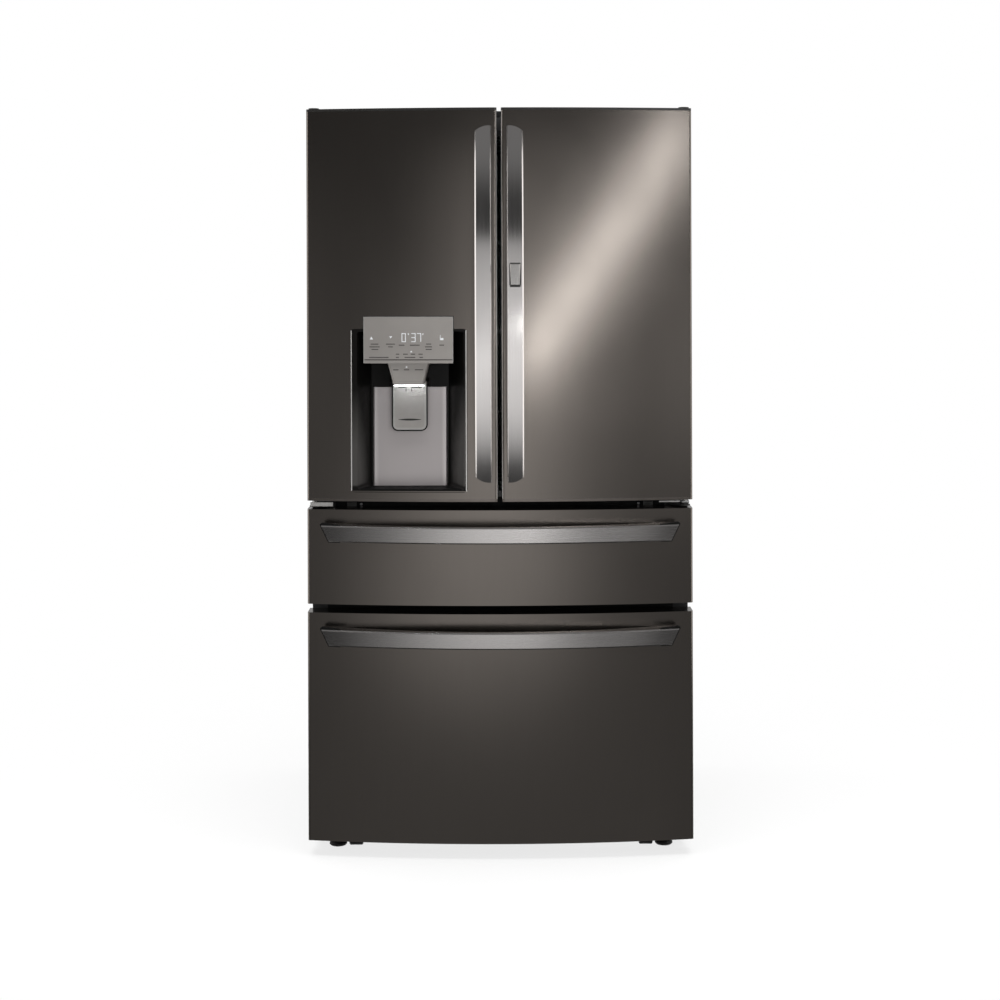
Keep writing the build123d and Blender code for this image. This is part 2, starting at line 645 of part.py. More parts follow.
for number in range(COVER_SLOTS):
    slot_x = (number - (COVER_SLOTS - 1) / 2) * SLOT_PITCH
    evaporator_cover -= upright(
        slot_x - SLOT_LENGTH / 2, slot_x + SLOT_LENGTH / 2, slot_low, slot_low + SLOT_HEIGHT,
        evaporator_front - COVER_SHEET - PAST, evaporator_front + PAST,
    )
save("evaporator", evaporator, evaporator_cover)

# Fridge shelves, crisper drawers and the air duct on the rear wall
SHELF_SIDE_GAP = 1
SHELF_ROUND = 4
CRISPER_WALL = 3
CRISPER_GAP = 4
CRISPER_TOP_GAP = 12
CRISPER_REAR_GAP = 30
CRISPER_ROUND = 14
DUCT_HALF = 110
DUCT_DEPTH = 22
DUCT_RISE = 40
DUCT_DROP = 30
DUCT_ROUND = 10
OUTLET_RISE = 100
OUTLET_SPREAD = 60
OUTLET_LENGTH = 60
OUTLET_HEIGHT = 12
OUTLET_ROUND = 3

shelves = [
    flat(
        -CAVITY_HALF + SHELF_SIDE_GAP, CAVITY_HALF - SHELF_SIDE_GAP, SHELF_FRONT, SHELF_BACK,
        level, level + SHELF_GLASS, SHELF_ROUND,
    )
    for level in SHELF_LEVELS
]
save("fridge_shelves", *shelves)

crisper = open_bin(
    CRISPER_GAP, CAVITY_HALF - 2 * CRISPER_GAP - LEDGE_REACH, SHELF_FRONT, SHELF_BACK - CRISPER_REAR_GAP,
    FRIDGE_FLOOR, SHELF_LEVELS[0] - CRISPER_TOP_GAP, CRISPER_WALL, CRISPER_ROUND,
)
save("crispers", crisper, mirrored(crisper))

air_duct = upright(
    -DUCT_HALF, DUCT_HALF, SHELF_LEVELS[0] + DUCT_RISE, FRIDGE_CEILING - DUCT_DROP,
    CAVITY_BACK - DUCT_DEPTH, CAVITY_BACK, DUCT_ROUND,
)
for level in SHELF_LEVELS:
    outlet_low = level + OUTLET_RISE
    for side in (-1, 1):
        outlet_x = side * OUTLET_SPREAD
        air_duct -= upright(
            outlet_x - OUTLET_LENGTH / 2, outlet_x + OUTLET_LENGTH / 2,
            outlet_low, outlet_low + OUTLET_HEIGHT,
            CAVITY_BACK - DUCT_DEPTH - PAST, CAVITY_BACK - DUCT_DEPTH / 2, OUTLET_ROUND,
        )
save("air_duct", air_duct)

# Telescopic slides: a cabinet channel, a link channel and a drawer channel, nested in each other
SLIDE_SHEET = 2
SLIDE_HALF = 20
SLIDE_REACH = 13
SLIDE_LENGTH = 450
SLIDE_SETBACK = 10
SLIDE_FACE = CAVITY_HALF - SLIDE_REACH - SLIDE_SHEET


def slide_channel(lip, web, half, z, toward_wall):
    """A channel along Y; its web stands at the wall side or at the drawer side."""
    y0 = CASE_FRONT + SLIDE_SETBACK
    y1 = y0 + SLIDE_LENGTH
    body = block(lip, web, y0, y1, z - half, z + half)
    if toward_wall:
        x0, x1 = lip - PAST, web - SLIDE_SHEET
    else:
        x0, x1 = lip + SLIDE_SHEET, web + PAST
    return body - block(x0, x1, y0 - PAST, y1 + PAST, z - half + SLIDE_SHEET, z + half - SLIDE_SHEET)


def slide_set(z):
    """The three members of one slide on the right, from the wall to the drawer."""
    step = SLIDE_SHEET + RUN_GAP
    lip = CAVITY_HALF - SLIDE_REACH
    fixed = slide_channel(lip, CAVITY_HALF, SLIDE_HALF, z, True)
    link = slide_channel(lip, CAVITY_HALF - step, SLIDE_HALF - step, z, True)
    runner = slide_channel(SLIDE_FACE, CAVITY_HALF - 2 * step, SLIDE_HALF - 2 * step, z, False)
    return fixed, link, runner


MIDDLE_SLIDE_RISE = 90
FREEZER_SLIDE_RISE = 205
MIDDLE_SLIDE_Z = MIDDLE_FLOOR + MIDDLE_SLIDE_RISE
FREEZER_SLIDE_Z = FREEZER_FLOOR + FREEZER_SLIDE_RISE
middle_fixed, middle_link, middle_runner = slide_set(MIDDLE_SLIDE_Z)
freezer_fixed, freezer_link, freezer_runner = slide_set(FREEZER_SLIDE_Z)
save(
    "cabinet_slides", middle_fixed, mirrored(middle_fixed), freezer_fixed, mirrored(freezer_fixed)
)
save("middle_slide_links", middle_link, mirrored(middle_link))
save("freezer_slide_links", freezer_link, mirrored(freezer_link))
save("middle_runners", middle_runner, mirrored(middle_runner))
save("freezer_runners", freezer_runner, mirrored(freezer_runner))

# Doors: a bowed steel skin round both edges, moulded caps above and below, a filled liner inside
CAP_RIM = 6
CAP_INSERT = 8
SKIN_BOTTOM = DOOR_BOTTOM + CAP_RIM
SKIN_TOP = DOOR_TOP - CAP_RIM
LINER_BOTTOM = SKIN_BOTTOM + CAP_INSERT
LINER_TOP = SKIN_TOP - CAP_INSERT


def door_skin(x0, x1, back):
    """The wrapped front sheet of a door, open at the back, top and bottom."""
    outer = bowed(x0, x1, back, SKIN_BOTTOM, SKIN_TOP, 0, EDGE_ROUND)
    inner = bowed(
        x0 + SKIN, x1 - SKIN, back + PAST, SKIN_BOTTOM - PAST, SKIN_TOP + PAST, SKIN, EDGE_ROUND - SKIN
    )
    return outer - inner


def door_fill(x0, x1, back, z0, z1):
    """A body that fills the skin from edge to edge."""
    return bowed(x0 + SKIN, x1 - SKIN, back, z0, z1, SKIN + GLUE_GAP, EDGE_ROUND - SKIN)


def door_caps(x0, x1, back):
    """The top and the bottom cap: a rim on the skin's edge and a plug inside it."""
    top = bowed(x0, x1, back, SKIN_TOP, DOOR_TOP, 0, EDGE_ROUND)
    top = top + door_fill(x0, x1, back, LINER_TOP, SKIN_TOP)
    low = bowed(x0, x1, back, DOOR_BOTTOM, SKIN_BOTTOM, 0, EDGE_ROUND)
    low = low + door_fill(x0, x1, back, SKIN_BOTTOM, LINER_BOTTOM)
    return top, low


def pin_holes(side):
    """Bores for both hinge pins of the door on one side."""
    top = rod_z(
        PIN_RADIUS + PIN_FIT, side * HINGE_X, HINGE_Y, DOOR_TOP - TOP_PIN_LENGTH - PAST, DOOR_TOP + PAST
    )
    low = rod_z(
        PIN_RADIUS + PIN_FIT, side * HINGE_X, HINGE_Y,
        DOOR_BOTTOM - PAST, DOOR_BOTTOM + BOTTOM_PIN_LENGTH + PAST,
    )
    return top + low


# Dispenser in the left door
DISPENSER_X = -213
RECESS_HALF = 134
RECESS_RISE = 25
RECESS_HEIGHT = 376
RECESS_WALL = 9
RECESS_ROUND = 6
RECESS_LOW = DOOR_BOTTOM + RECESS_RISE
RECESS_HIGH = RECESS_LOW + RECESS_HEIGHT
RECESS_BACK = DOOR_REAR - RECESS_WALL
BACK_HALF = 92
BACK_ROUND = 8
BACK_DROP = 2
HOUSING_WALL = 2.5
RIM_WIDTH = 3.5
RIM_PROUD = 1.2
PANEL_HALF = 105
PANEL_RISE = 299.5
PANEL_HEIGHT = 108.5
PANEL_PROUD = 12
PANEL_DEPTH = 46
PANEL_ROUND = 4
PANEL_LOW = RECESS_LOW + PANEL_RISE
PANEL_HIGH = PANEL_LOW + PANEL_HEIGHT
PANEL_BACK = FRONT_CENTRE + PANEL_DEPTH

left_holes = pin_holes(-1)
left_skin = door_skin(-HALF_FRONT, -DOOR_EDGE, DOOR_REAR)
recess_cut = upright(
    DISPENSER_X - RECESS_HALF, DISPENSER_X + RECESS_HALF, RECESS_LOW, RECESS_HIGH,
    FRONT_CENTRE - PAST, RECESS_BACK, RECESS_ROUND,
)
panel_cut = upright(
    DISPENSER_X - PANEL_HALF, DISPENSER_X + PANEL_HALF, PANEL_LOW, PANEL_HIGH,
    FRONT_CENTRE - PAST, PANEL_BACK, PANEL_ROUND,
)
save("left_door_skin", left_skin - recess_cut - panel_cut)

left_top_cap, left_bottom_cap = door_caps(-HALF_FRONT, -DOOR_EDGE, DOOR_REAR)
save("left_door_caps", left_top_cap - left_holes, left_bottom_cap - left_holes)

# Recess housing: splayed walls drawn between the mouth and the rounded back, with a rim on the skin
MOUTH_PROUD = 4
MOUTH_Y = FRONT_CENTRE - MOUTH_PROUD


def splayed(mouth_half, back_half, grow, back):
    """A tapering body from the recess mouth to its back."""
    height = RECESS_HIGH - RECESS_LOW - 2 * HOUSING_WALL
    centre_z = (RECESS_LOW + RECESS_HIGH) / 2
    mouth_outline = RectangleRounded(2 * (mouth_half + grow), height + 2 * grow, RECESS_ROUND)
    back_outline = RectangleRounded(2 * (back_half + grow), height - BACK_DROP + 2 * grow, BACK_ROUND)
    sections = [
        Pos(DISPENSER_X, MOUTH_Y, centre_z) * (Plane.XZ * mouth_outline),
        Pos(DISPENSER_X, back, centre_z) * (Plane.XZ * back_outline),
    ]
    return loft(sections, ruled=True)


housing_inside = splayed(RECESS_HALF - HOUSING_WALL, BACK_HALF, 0, RECESS_BACK - HOUSING_WALL)
housing_outside = splayed(
    RECESS_HALF - HOUSING_WALL, BACK_HALF, HOUSING_WALL - GLUE_GAP, RECESS_BACK
)
door_envelope = bowed(-HALF_FRONT, 0, DOOR_REAR, DOOR_BOTTOM, DOOR_TOP)
rim_envelope = bowed(-HALF_FRONT, 0, DOOR_REAR, DOOR_BOTTOM, DOOR_TOP, -RIM_PROUD)
rim = upright(
    DISPENSER_X - RECESS_HALF - RIM_WIDTH, DISPENSER_X + RECESS_HALF + RIM_WIDTH,
    RECESS_LOW - RIM_WIDTH, RECESS_HIGH + RIM_WIDTH,
    MOUTH_Y, RECESS_BACK, RECESS_ROUND + RIM_WIDTH,
)
rim = (rim & (rim_envelope - door_envelope)) + (housing_outside & rim_envelope)
PIVOT_SETBACK = 26
PIVOT_DROP = 48
PIVOT_RADIUS = 4
LEVER_HALF = 39.5
LUG_GAP = 1.5
LUG_SHEET = 5
LUG_RADIUS = 8
PIVOT_X = DISPENSER_X
PIVOT_Y = RECESS_BACK - PIVOT_SETBACK
PIVOT_Z = PANEL_LOW - PIVOT_DROP
LUG_NEAR = LEVER_HALF + LUG_GAP
LUG_FAR = LUG_NEAR + LUG_SHEET
housing = rim - housing_inside
for side in (-1, 1):
    lug_inner = PIVOT_X + side * LUG_NEAR
    lug_outer = PIVOT_X + side * LUG_FAR
    x0, x1 = min(lug_inner, lug_outer), max(lug_inner, lug_outer)
    lug = block(x0, x1, PIVOT_Y, RECESS_BACK - PAST / 2, PIVOT_Z - LUG_RADIUS, PIVOT_Z + LUG_RADIUS)
    lug = lug + rod_x(LUG_RADIUS, x0, x1, PIVOT_Y, PIVOT_Z)
    housing = housing + lug
housing -= rod_x(
    PIVOT_RADIUS + PIN_FIT, PIVOT_X - LUG_FAR - PAST, PIVOT_X + LUG_FAR + PAST, PIVOT_Y, PIVOT_Z
)
housing -= panel_cut
save("dispenser_housing", housing)

# Light back plate set on the rear wall of the recess, with its long edges rolled back
PLATE_HALF = 88
PLATE_THICK = 5
PLATE_ROLL = 4.5
PLATE_RISE = 5
PLATE_DROP = 12
PLATE_LOW = RECESS_LOW + PLATE_RISE
PLATE_HIGH = PIVOT_Z - PLATE_DROP
plate_rear = RECESS_BACK - HOUSING_WALL
back_plate = upright(
    DISPENSER_X - PLATE_HALF, DISPENSER_X + PLATE_HALF, PLATE_LOW, PLATE_HIGH,
    plate_rear - PLATE_THICK, plate_rear,
)
rolled_edges = back_plate.faces().sort_by(Axis.Y)[0].edges().filter_by(Axis.Z)
save("dispenser_back_plate", fillet(rolled_edges, PLATE_ROLL))

# Control panel: a block that stands proud of the door and follows its bow, with a groove over its lip
LIP_RISE = 7
LIP_GROOVE = 2.2
GROOVE_DEPTH = 3

panel = upright(
    DISPENSER_X - PANEL_HALF, DISPENSER_X + PANEL_HALF, PANEL_LOW, PANEL_HIGH,
    FRONT_CENTRE - 2 * PANEL_PROUD, PANEL_BACK, PANEL_ROUND,
)
panel = panel & bowed(-HALF_FRONT, 0, PANEL_BACK, DOOR_BOTTOM, DOOR_TOP, -PANEL_PROUD)
groove_low = PANEL_LOW + LIP_RISE
groove = bowed(-HALF_FRONT, 0, PANEL_BACK, groove_low, groove_low + LIP_GROOVE, -2 * PANEL_PROUD)
panel -= groove - bowed(
    -HALF_FRONT, 0, PANEL_BACK, groove_low, groove_low + LIP_GROOVE, GROOVE_DEPTH - PANEL_PROUD
)
save("dispenser_panel", panel)

# Ice chute: a tapering spout under the panel, bored through
CHUTE_TOP_HALF = 49
CHUTE_LOW_HALF = 36
CHUTE_HEIGHT = 52
CHUTE_TOP_DEPTH = 50
CHUTE_LOW_DEPTH = 38
CHUTE_SETBACK = 17
CHUTE_ROUND = 6
CHUTE_WALL = 3
CHUTE_Y = PANEL_BACK - CHUTE_SETBACK


def chute_body(shrink, past):
    """The spout's outer or inner taper."""
    top = RectangleRounded(2 * (CHUTE_TOP_HALF - shrink), CHUTE_TOP_DEPTH - 2 * shrink, CHUTE_ROUND)
    low = RectangleRounded(2 * (CHUTE_LOW_HALF - shrink), CHUTE_LOW_DEPTH - 2 * shrink, CHUTE_ROUND)
    sections = [
        Pos(DISPENSER_X, CHUTE_Y, PANEL_LOW + past) * top,
        Pos(DISPENSER_X, CHUTE_Y, PANEL_LOW - CHUTE_HEIGHT - past) * low,
    ]
    return loft(sections, ruled=True)


BORE_PAST = 0.01
chute = chute_body(0, 0) - chute_body(CHUTE_WALL, BORE_PAST)
save("dispenser_chute", chute)

# Lever: a plate with rounded lower corners and a grip slot, hung on a pivot bar
LEVER_LENGTH = 112
LEVER_THICK = 6
LEVER_ROUND = 12
GRIP_HALF = 29
GRIP_HEIGHT = 5
GRIP_RISE = 24
GRIP_DEPTH = 4
LEVER_LOW = PIVOT_Z - LEVER_LENGTH
LEVER_FRONT = PIVOT_Y - LEVER_THICK / 2

lever = upright(
    PIVOT_X - LEVER_HALF, PIVOT_X + LEVER_HALF, LEVER_LOW, PIVOT_Z,
    LEVER_FRONT, LEVER_FRONT + LEVER_THICK,
)
lever = fillet(lever.edges().filter_by(Axis.Y).group_by(Axis.Z)[0], LEVER_ROUND)
lever = lever + rod_x(PIVOT_RADIUS, PIVOT_X - LUG_FAR, PIVOT_X + LUG_FAR, PIVOT_Y, PIVOT_Z)
grip_z = LEVER_LOW + GRIP_RISE
grip_ends = ((PIVOT_X - GRIP_HALF, grip_z), (PIVOT_X + GRIP_HALF, grip_z))
grip_outline = make_face(
    [
        ThreePointArc(grip_ends[0], (PIVOT_X, grip_z + GRIP_HEIGHT / 2), grip_ends[1]),
        ThreePointArc(grip_ends[1], (PIVOT_X, grip_z - GRIP_HEIGHT / 2), grip_ends[0]),
    ]
)
grip_place = Pos(0, LEVER_FRONT + GRIP_DEPTH, 0) * (Plane.XZ * grip_outline)
lever -= extrude(grip_place, amount=GRIP_DEPTH + PAST)
save("dispenser_lever", lever)

# Left door liner: the filled body, a raised dyke round its back and the lugs for the flap
DYKE_SIDE = 7
DYKE_EDGE = 6
DYKE_ROUND = 12
DYKE_INNER = 48
DYKE_WIDTH = 20
DYKE_DEPTH = 54
FLAP_X = -21
FLAP_SETBACK = 9
FLAP_HALF = 8.5
FLAP_REACH = 51
FLAP_PIN = 4
FLAP_PIN_LENGTH = 12
LUG_THICK = 10
LUG_EDGE = 4
DYKE_OUTER = CAVITY_HALF - DYKE_SIDE
DYKE_LOW = FRIDGE_FLOOR + DYKE_EDGE
DYKE_HIGH = FRIDGE_CEILING - DYKE_EDGE
FLAP_Y = CASE_FRONT + FLAP_SETBACK
LUG_LOW = FRIDGE_FLOOR + LUG_EDGE
LUG_HIGH = FRIDGE_CEILING - LUG_EDGE

left_liner = door_fill(-HALF_FRONT, -DOOR_EDGE, DOOR_REAR, LINER_BOTTOM, LINER_TOP)
left_liner -= block(
    DISPENSER_X - RECESS_HALF - PAST, DISPENSER_X + RECESS_HALF + PAST,
    FRONT_CENTRE - PAST, RECESS_BACK + PAST, RECESS_LOW - PAST, PANEL_HIGH + PAST,
)
dyke = frame_upright(
    DYKE_INNER, DYKE_OUTER, DYKE_LOW, DYKE_HIGH, DOOR_REAR, DOOR_REAR + DYKE_DEPTH, DYKE_WIDTH, DYKE_ROUND
)
left_liner = left_liner + mirrored(dyke)
for lug_z in (LUG_LOW, LUG_HIGH - LUG_THICK):
    flap_lug = block(
        -DYKE_INNER - DYKE_WIDTH + PAST, FLAP_X, FLAP_Y - FLAP_HALF, FLAP_Y + FLAP_HALF,
        lug_z, lug_z + LUG_THICK,
    )
    left_liner = left_liner + flap_lug + rod_z(FLAP_HALF, FLAP_X, FLAP_Y, lug_z, lug_z + LUG_THICK)
left_liner = left_liner + rod_z(FLAP_PIN, FLAP_X, FLAP_Y, LUG_LOW, LUG_LOW + LUG_THICK + FLAP_PIN_LENGTH)
left_liner = left_liner + rod_z(FLAP_PIN, FLAP_X, FLAP_Y, LUG_HIGH - LUG_THICK - FLAP_PIN_LENGTH, LUG_HIGH)
save("left_door_liner", left_liner - left_holes)

# Mullion flap, drawn folded back into the compartment
flap_low = LUG_LOW + LUG_THICK + RUN_GAP
flap_high = LUG_HIGH - LUG_THICK - RUN_GAP
flap = block(
    FLAP_X - FLAP_HALF, FLAP_X + FLAP_HALF, FLAP_Y, FLAP_Y + FLAP_REACH, flap_low, flap_high
)
flap = flap + rod_z(FLAP_HALF, FLAP_X, FLAP_Y, flap_low, flap_high)
for hole_low in (flap_low - PAST, flap_high - FLAP_PIN_LENGTH - PAST):
    flap -= rod_z(
        FLAP_PIN + PIN_FIT, FLAP_X, FLAP_Y, hole_low, hole_low + FLAP_PIN_LENGTH + 2 * PAST
    )
save("mullion_flap", flap)

# Magnetic gaskets of the fridge doors
GASKET_WIDTH = 16
GASKET_INSET = 12
GASKET_INNER = 12
GASKET_ROUND = 6
GASKET_EDGE = 4
GASKET_LAP = 2
GASKET_OUTER = HINGE_X - GASKET_INSET
GASKET_LOW = DOOR_BOTTOM + GASKET_EDGE
GASKET_HIGH = FRIDGE_CEILING + FLANGE + GASKET_LAP
GASKET_FACE = CASE_FRONT - SEAL_GAP

door_gasket = frame_upright(
    GASKET_INNER, GASKET_OUTER, GASKET_LOW, GASKET_HIGH, DOOR_REAR, GASKET_FACE, GASKET_WIDTH, GASKET_ROUND
)
save("left_door_gasket", mirrored(door_gasket))
save("inner_door_gasket", door_gasket)

# Ice room on the back of the left door, a closed insulated box
BASKET_OUTER = DYKE_OUTER - DYKE_WIDTH
BASKET_INNER = DYKE_INNER + DYKE_WIDTH
ICE_ROOM_RISE = 30
ICE_ROOM_DEPTH = 108
ICE_ROOM_DROP = 8
ICE_ROOM_CHAMFER = 6
LATCH_INSET = 15
LATCH_WIDTH = 25
LATCH_RISE = 150
LATCH_HEIGHT = 80
LATCH_DEPTH = 10
LATCH_ROUND = 6
ICE_ROOM_LOW = PANEL_HIGH + ICE_ROOM_RISE
ICE_ROOM_HIGH = DYKE_HIGH - DYKE_WIDTH - ICE_ROOM_DROP
ICE_ROOM_BACK = DOOR_REAR + ICE_ROOM_DEPTH

ice_room = upright(-BASKET_OUTER, -BASKET_INNER, ICE_ROOM_LOW, ICE_ROOM_HIGH, DOOR_REAR, ICE_ROOM_BACK)
ice_room = chamfer(ice_room.faces().sort_by(Axis.Y)[-1].edges(), ICE_ROOM_CHAMFER)
latch_edge = -BASKET_INNER - LATCH_INSET
latch_low = ICE_ROOM_LOW + LATCH_RISE
ice_room -= upright(
    latch_edge - LATCH_WIDTH, latch_edge, latch_low, latch_low + LATCH_HEIGHT,
    ICE_ROOM_BACK - LATCH_DEPTH, ICE_ROOM_BACK + PAST, LATCH_ROUND,
)
save("ice_room", ice_room)

# Door baskets: moulded bins held between the dykes
BASKET_WALL = 3
BASKET_REACH = 96
BASKET_HEIGHT = 105
BASKET_ROUND = 10
BASKET_LIFT = 8
LEFT_BASKETS = 2
LEFT_PITCH = 210
RIGHT_BASKETS = 3
RIGHT_PITCH = 260
FRAME_LAP = 4
BASKET_BACK = DOOR_REAR + BASKET_REACH
BASKET_LOW = DYKE_LOW + DYKE_WIDTH + BASKET_LIFT


def basket(x0, x1, front, low):
    """One door bin."""
    return open_bin(x0, x1, front, BASKET_BACK, low, low + BASKET_HEIGHT, BASKET_WALL, BASKET_ROUND)


left_baskets = [
    basket(-BASKET_OUTER, -BASKET_INNER, DOOR_REAR, BASKET_LOW + number * LEFT_PITCH)
    for number in range(LEFT_BASKETS)
]
save("left_door_baskets", *left_baskets)

# Right door, inner frame: a window with a dyke round it, and an ear on each hinge pin
FRAME_EDGE = 2
FRAME_ROUND = 5
FRAME_SILL = 4
FRAME_HEAD = 6
WINDOW_ROUND = 6
EAR_PLATE = 5
EAR_RADIUS = 10
UPPER_EAR_DROP = 16
LOWER_EAR_CLEAR = 3
UPPER_EAR_LOW = LINER_TOP - UPPER_EAR_DROP
LOWER_EAR_LOW = MIDDLE_PLATE_HIGH + LOWER_EAR_CLEAR
FRAME_LOW = DOOR_BOTTOM + FRAME_SILL
FRAME_HIGH = DOOR_TOP - FRAME_HEAD

inner_frame = upright(
    DOOR_EDGE, HALF_FRONT - FRAME_EDGE, FRAME_LOW, FRAME_HIGH, INNER_FRONT, DOOR_REAR, FRAME_ROUND
)
window = upright(
    BASKET_INNER, BASKET_OUTER, DYKE_LOW + DYKE_WIDTH, DYKE_HIGH - DYKE_WIDTH,
    INNER_FRONT - PAST, DOOR_REAR + PAST, WINDOW_ROUND,
)
inner_frame = inner_frame - window + dyke


def hinge_ear(low):
    """A plate from the inner frame round the hinge pin."""
    plate = block(
        HINGE_X - EAR_RADIUS, HINGE_X + EAR_RADIUS, HINGE_Y, INNER_FRONT + PAST, low, low + EAR_PLATE
    )
    return plate + rod_z(EAR_RADIUS, HINGE_X, HINGE_Y, low, low + EAR_PLATE)


ear_drop = block(
    HINGE_X - EAR_RADIUS, HINGE_X + EAR_RADIUS, INNER_FRONT, INNER_FRONT + EAR_PLATE,
    LOWER_EAR_LOW, FRAME_LOW + 2 * PAST,
)
inner_frame = inner_frame + hinge_ear(UPPER_EAR_LOW) + hinge_ear(LOWER_EAR_LOW) + ear_drop
ear_bore = rod_z(
    PIN_RADIUS + PIN_FIT, HINGE_X, HINGE_Y, LOWER_EAR_LOW - PAST, UPPER_EAR_LOW + EAR_PLATE + PAST
)
save("inner_door_frame", inner_frame - ear_bore)

right_baskets = [
    basket(BASKET_INNER, BASKET_OUTER, INNER_FRONT + FRAME_LAP, BASKET_LOW + number * RIGHT_PITCH)
    for number in range(RIGHT_BASKETS)
]
save("inner_door_baskets", *right_baskets)

# Right door, outer door: skin, caps and filled liner, slotted for the upper ear of the inner frame
SLOT_CLEAR = 2
SLOT_LIP = 4

right_holes = pin_holes(1)
ear_slot = block(
    HINGE_X - EAR_RADIUS - 2 * SLOT_CLEAR, HALF_FRONT + PAST, FRONT_CORNER + SLOT_LIP,
    OUTER_REAR + PAST, UPPER_EAR_LOW - SLOT_CLEAR, UPPER_EAR_LOW + EAR_PLATE + SLOT_CLEAR,
)
save("right_door_skin", door_skin(DOOR_EDGE, HALF_FRONT, OUTER_REAR) - ear_slot)
right_top_cap, right_bottom_cap = door_caps(DOOR_EDGE, HALF_FRONT, OUTER_REAR)
save("right_door_caps", right_top_cap - right_holes, right_bottom_cap - right_holes)
right_liner = door_fill(DOOR_EDGE, HALF_FRONT, OUTER_REAR, LINER_BOTTOM, LINER_TOP)
save("right_door_liner", right_liner - right_holes - ear_slot)

OUTER_GASKET_WIDTH = 14
OUTER_GASKET_INSET = 24
OUTER_GASKET_EDGE = 13
outer_gasket = frame_upright(
    GASKET_INNER, HINGE_X - OUTER_GASKET_INSET, DOOR_BOTTOM + OUTER_GASKET_EDGE, DOOR_TOP - OUTER_GASKET_EDGE,
    OUTER_REAR, INNER_FRONT - SEAL_GAP, OUTER_GASKET_WIDTH, GASKET_ROUND,
)
save("outer_door_gasket", outer_gasket)

# Upright door handles: an arched bar whose feet sit on the bowed skin
HANDLE_INNER = 17.5
HANDLE_WIDTH = 39
HANDLE_RISE = 46
HANDLE_DROP = 43
HANDLE_END = 11
HANDLE_THICK = 17
HANDLE_FOOT = 42
HANDLE_CUT = 14
HANDLE_CHAMFER = 3
CUT_SHARE = 0.35
CUT_SAG = 0.3
HANDLE_LOW = DOOR_BOTTOM + HANDLE_RISE
HANDLE_HIGH = DOOR_TOP - HANDLE_DROP


def upright_handle():
    """The right-hand handle: side arch, cut ends, chamfered front edges."""
    x0, x1 = HANDLE_INNER, HANDLE_INNER + HANDLE_WIDTH
    middle = (HANDLE_LOW + HANDLE_HIGH) / 2
    seat = bow_y(x1) + PAST
    face_end = bow_y(x1) - HANDLE_END
    face = ThreePointArc((face_end, HANDLE_LOW), (HANDLE_FACE, middle), (face_end, HANDLE_HIGH))
    grip = ThreePointArc(
        (seat, HANDLE_HIGH - HANDLE_FOOT),
        (HANDLE_FACE + HANDLE_THICK, middle),
        (seat, HANDLE_LOW + HANDLE_FOOT),
    )
    upper = Polyline((face_end, HANDLE_HIGH), (seat, HANDLE_HIGH), (seat, HANDLE_HIGH - HANDLE_FOOT))
    lower = Polyline((seat, HANDLE_LOW + HANDLE_FOOT), (seat, HANDLE_LOW), (face_end, HANDLE_LOW))
    side = make_face([face, *upper.edges(), grip, *lower.edges()])
    bar = extrude(Pos(x0, 0, 0) * (Plane.YZ * side), amount=HANDLE_WIDTH)
    top_cut = ThreePointArc(
        (x1, HANDLE_HIGH - HANDLE_CUT),
        (x1 - HANDLE_WIDTH * CUT_SHARE, HANDLE_HIGH - HANDLE_CUT * CUT_SAG),
        (x0, HANDLE_HIGH),
    )
    low_cut = ThreePointArc(
        (x0, HANDLE_LOW),
        (x1 - HANDLE_WIDTH * CUT_SHARE, HANDLE_LOW + HANDLE_CUT * CUT_SAG),
        (x1, HANDLE_LOW + HANDLE_CUT),
    )
    inner_side = Line((x0, HANDLE_HIGH), (x0, HANDLE_LOW))
    outer_side = Line((x1, HANDLE_LOW + HANDLE_CUT), (x1, HANDLE_HIGH - HANDLE_CUT))
    front = make_face([top_cut, inner_side, low_cut, outer_side])
    outline = extrude(Pos(0, seat + PAST, 0) * (Plane.XZ * front), amount=2 * HANDLE_REACH)
    bar = chamfer(bar.edges().filter_by(GeomType.CIRCLE).sort_by(Axis.Y)[:2], HANDLE_CHAMFER)
    return (bar & outline) - bowed(0, HALF_FRONT, DOOR_REAR, DOOR_BOTTOM, DOOR_TOP)


# Release button in a pocket of the right handle
BUTTON_DROP = 348
POCKET_DEPTH = 11
BUTTON_X = HANDLE_INNER + HANDLE_WIDTH / 2
BUTTON_Z = HANDLE_HIGH - BUTTON_DROP
BUTTON_HALF_WIDTH = 12
BUTTON_HALF_HEIGHT = 25
BUTTON_DEPTH = 7
BUTTON_CHAMFER = 1.5
BUTTON_TRAVEL = 3
POCKET_BOTTOM = HANDLE_FACE + POCKET_DEPTH

handle = upright_handle()
save("left_handle", mirrored(handle))
pocket = upright(
    BUTTON_X - BUTTON_HALF_WIDTH - SEAL_GAP, BUTTON_X + BUTTON_HALF_WIDTH + SEAL_GAP,
    BUTTON_Z - BUTTON_HALF_HEIGHT - SEAL_GAP, BUTTON_Z + BUTTON_HALF_HEIGHT + SEAL_GAP,
    HANDLE_FACE - HANDLE_REACH, POCKET_BOTTOM,
)
save("right_handle", handle - pocket)
button_back = POCKET_BOTTOM - BUTTON_TRAVEL - RUN_GAP
button = upright(
    BUTTON_X - BUTTON_HALF_WIDTH, BUTTON_X + BUTTON_HALF_WIDTH,
    BUTTON_Z - BUTTON_HALF_HEIGHT, BUTTON_Z + BUTTON_HALF_HEIGHT,
    button_back - BUTTON_DEPTH, button_back,
)
button = chamfer(button.faces().sort_by(Axis.Y)[0].edges(), BUTTON_CHAMFER)
save("release_button", button)

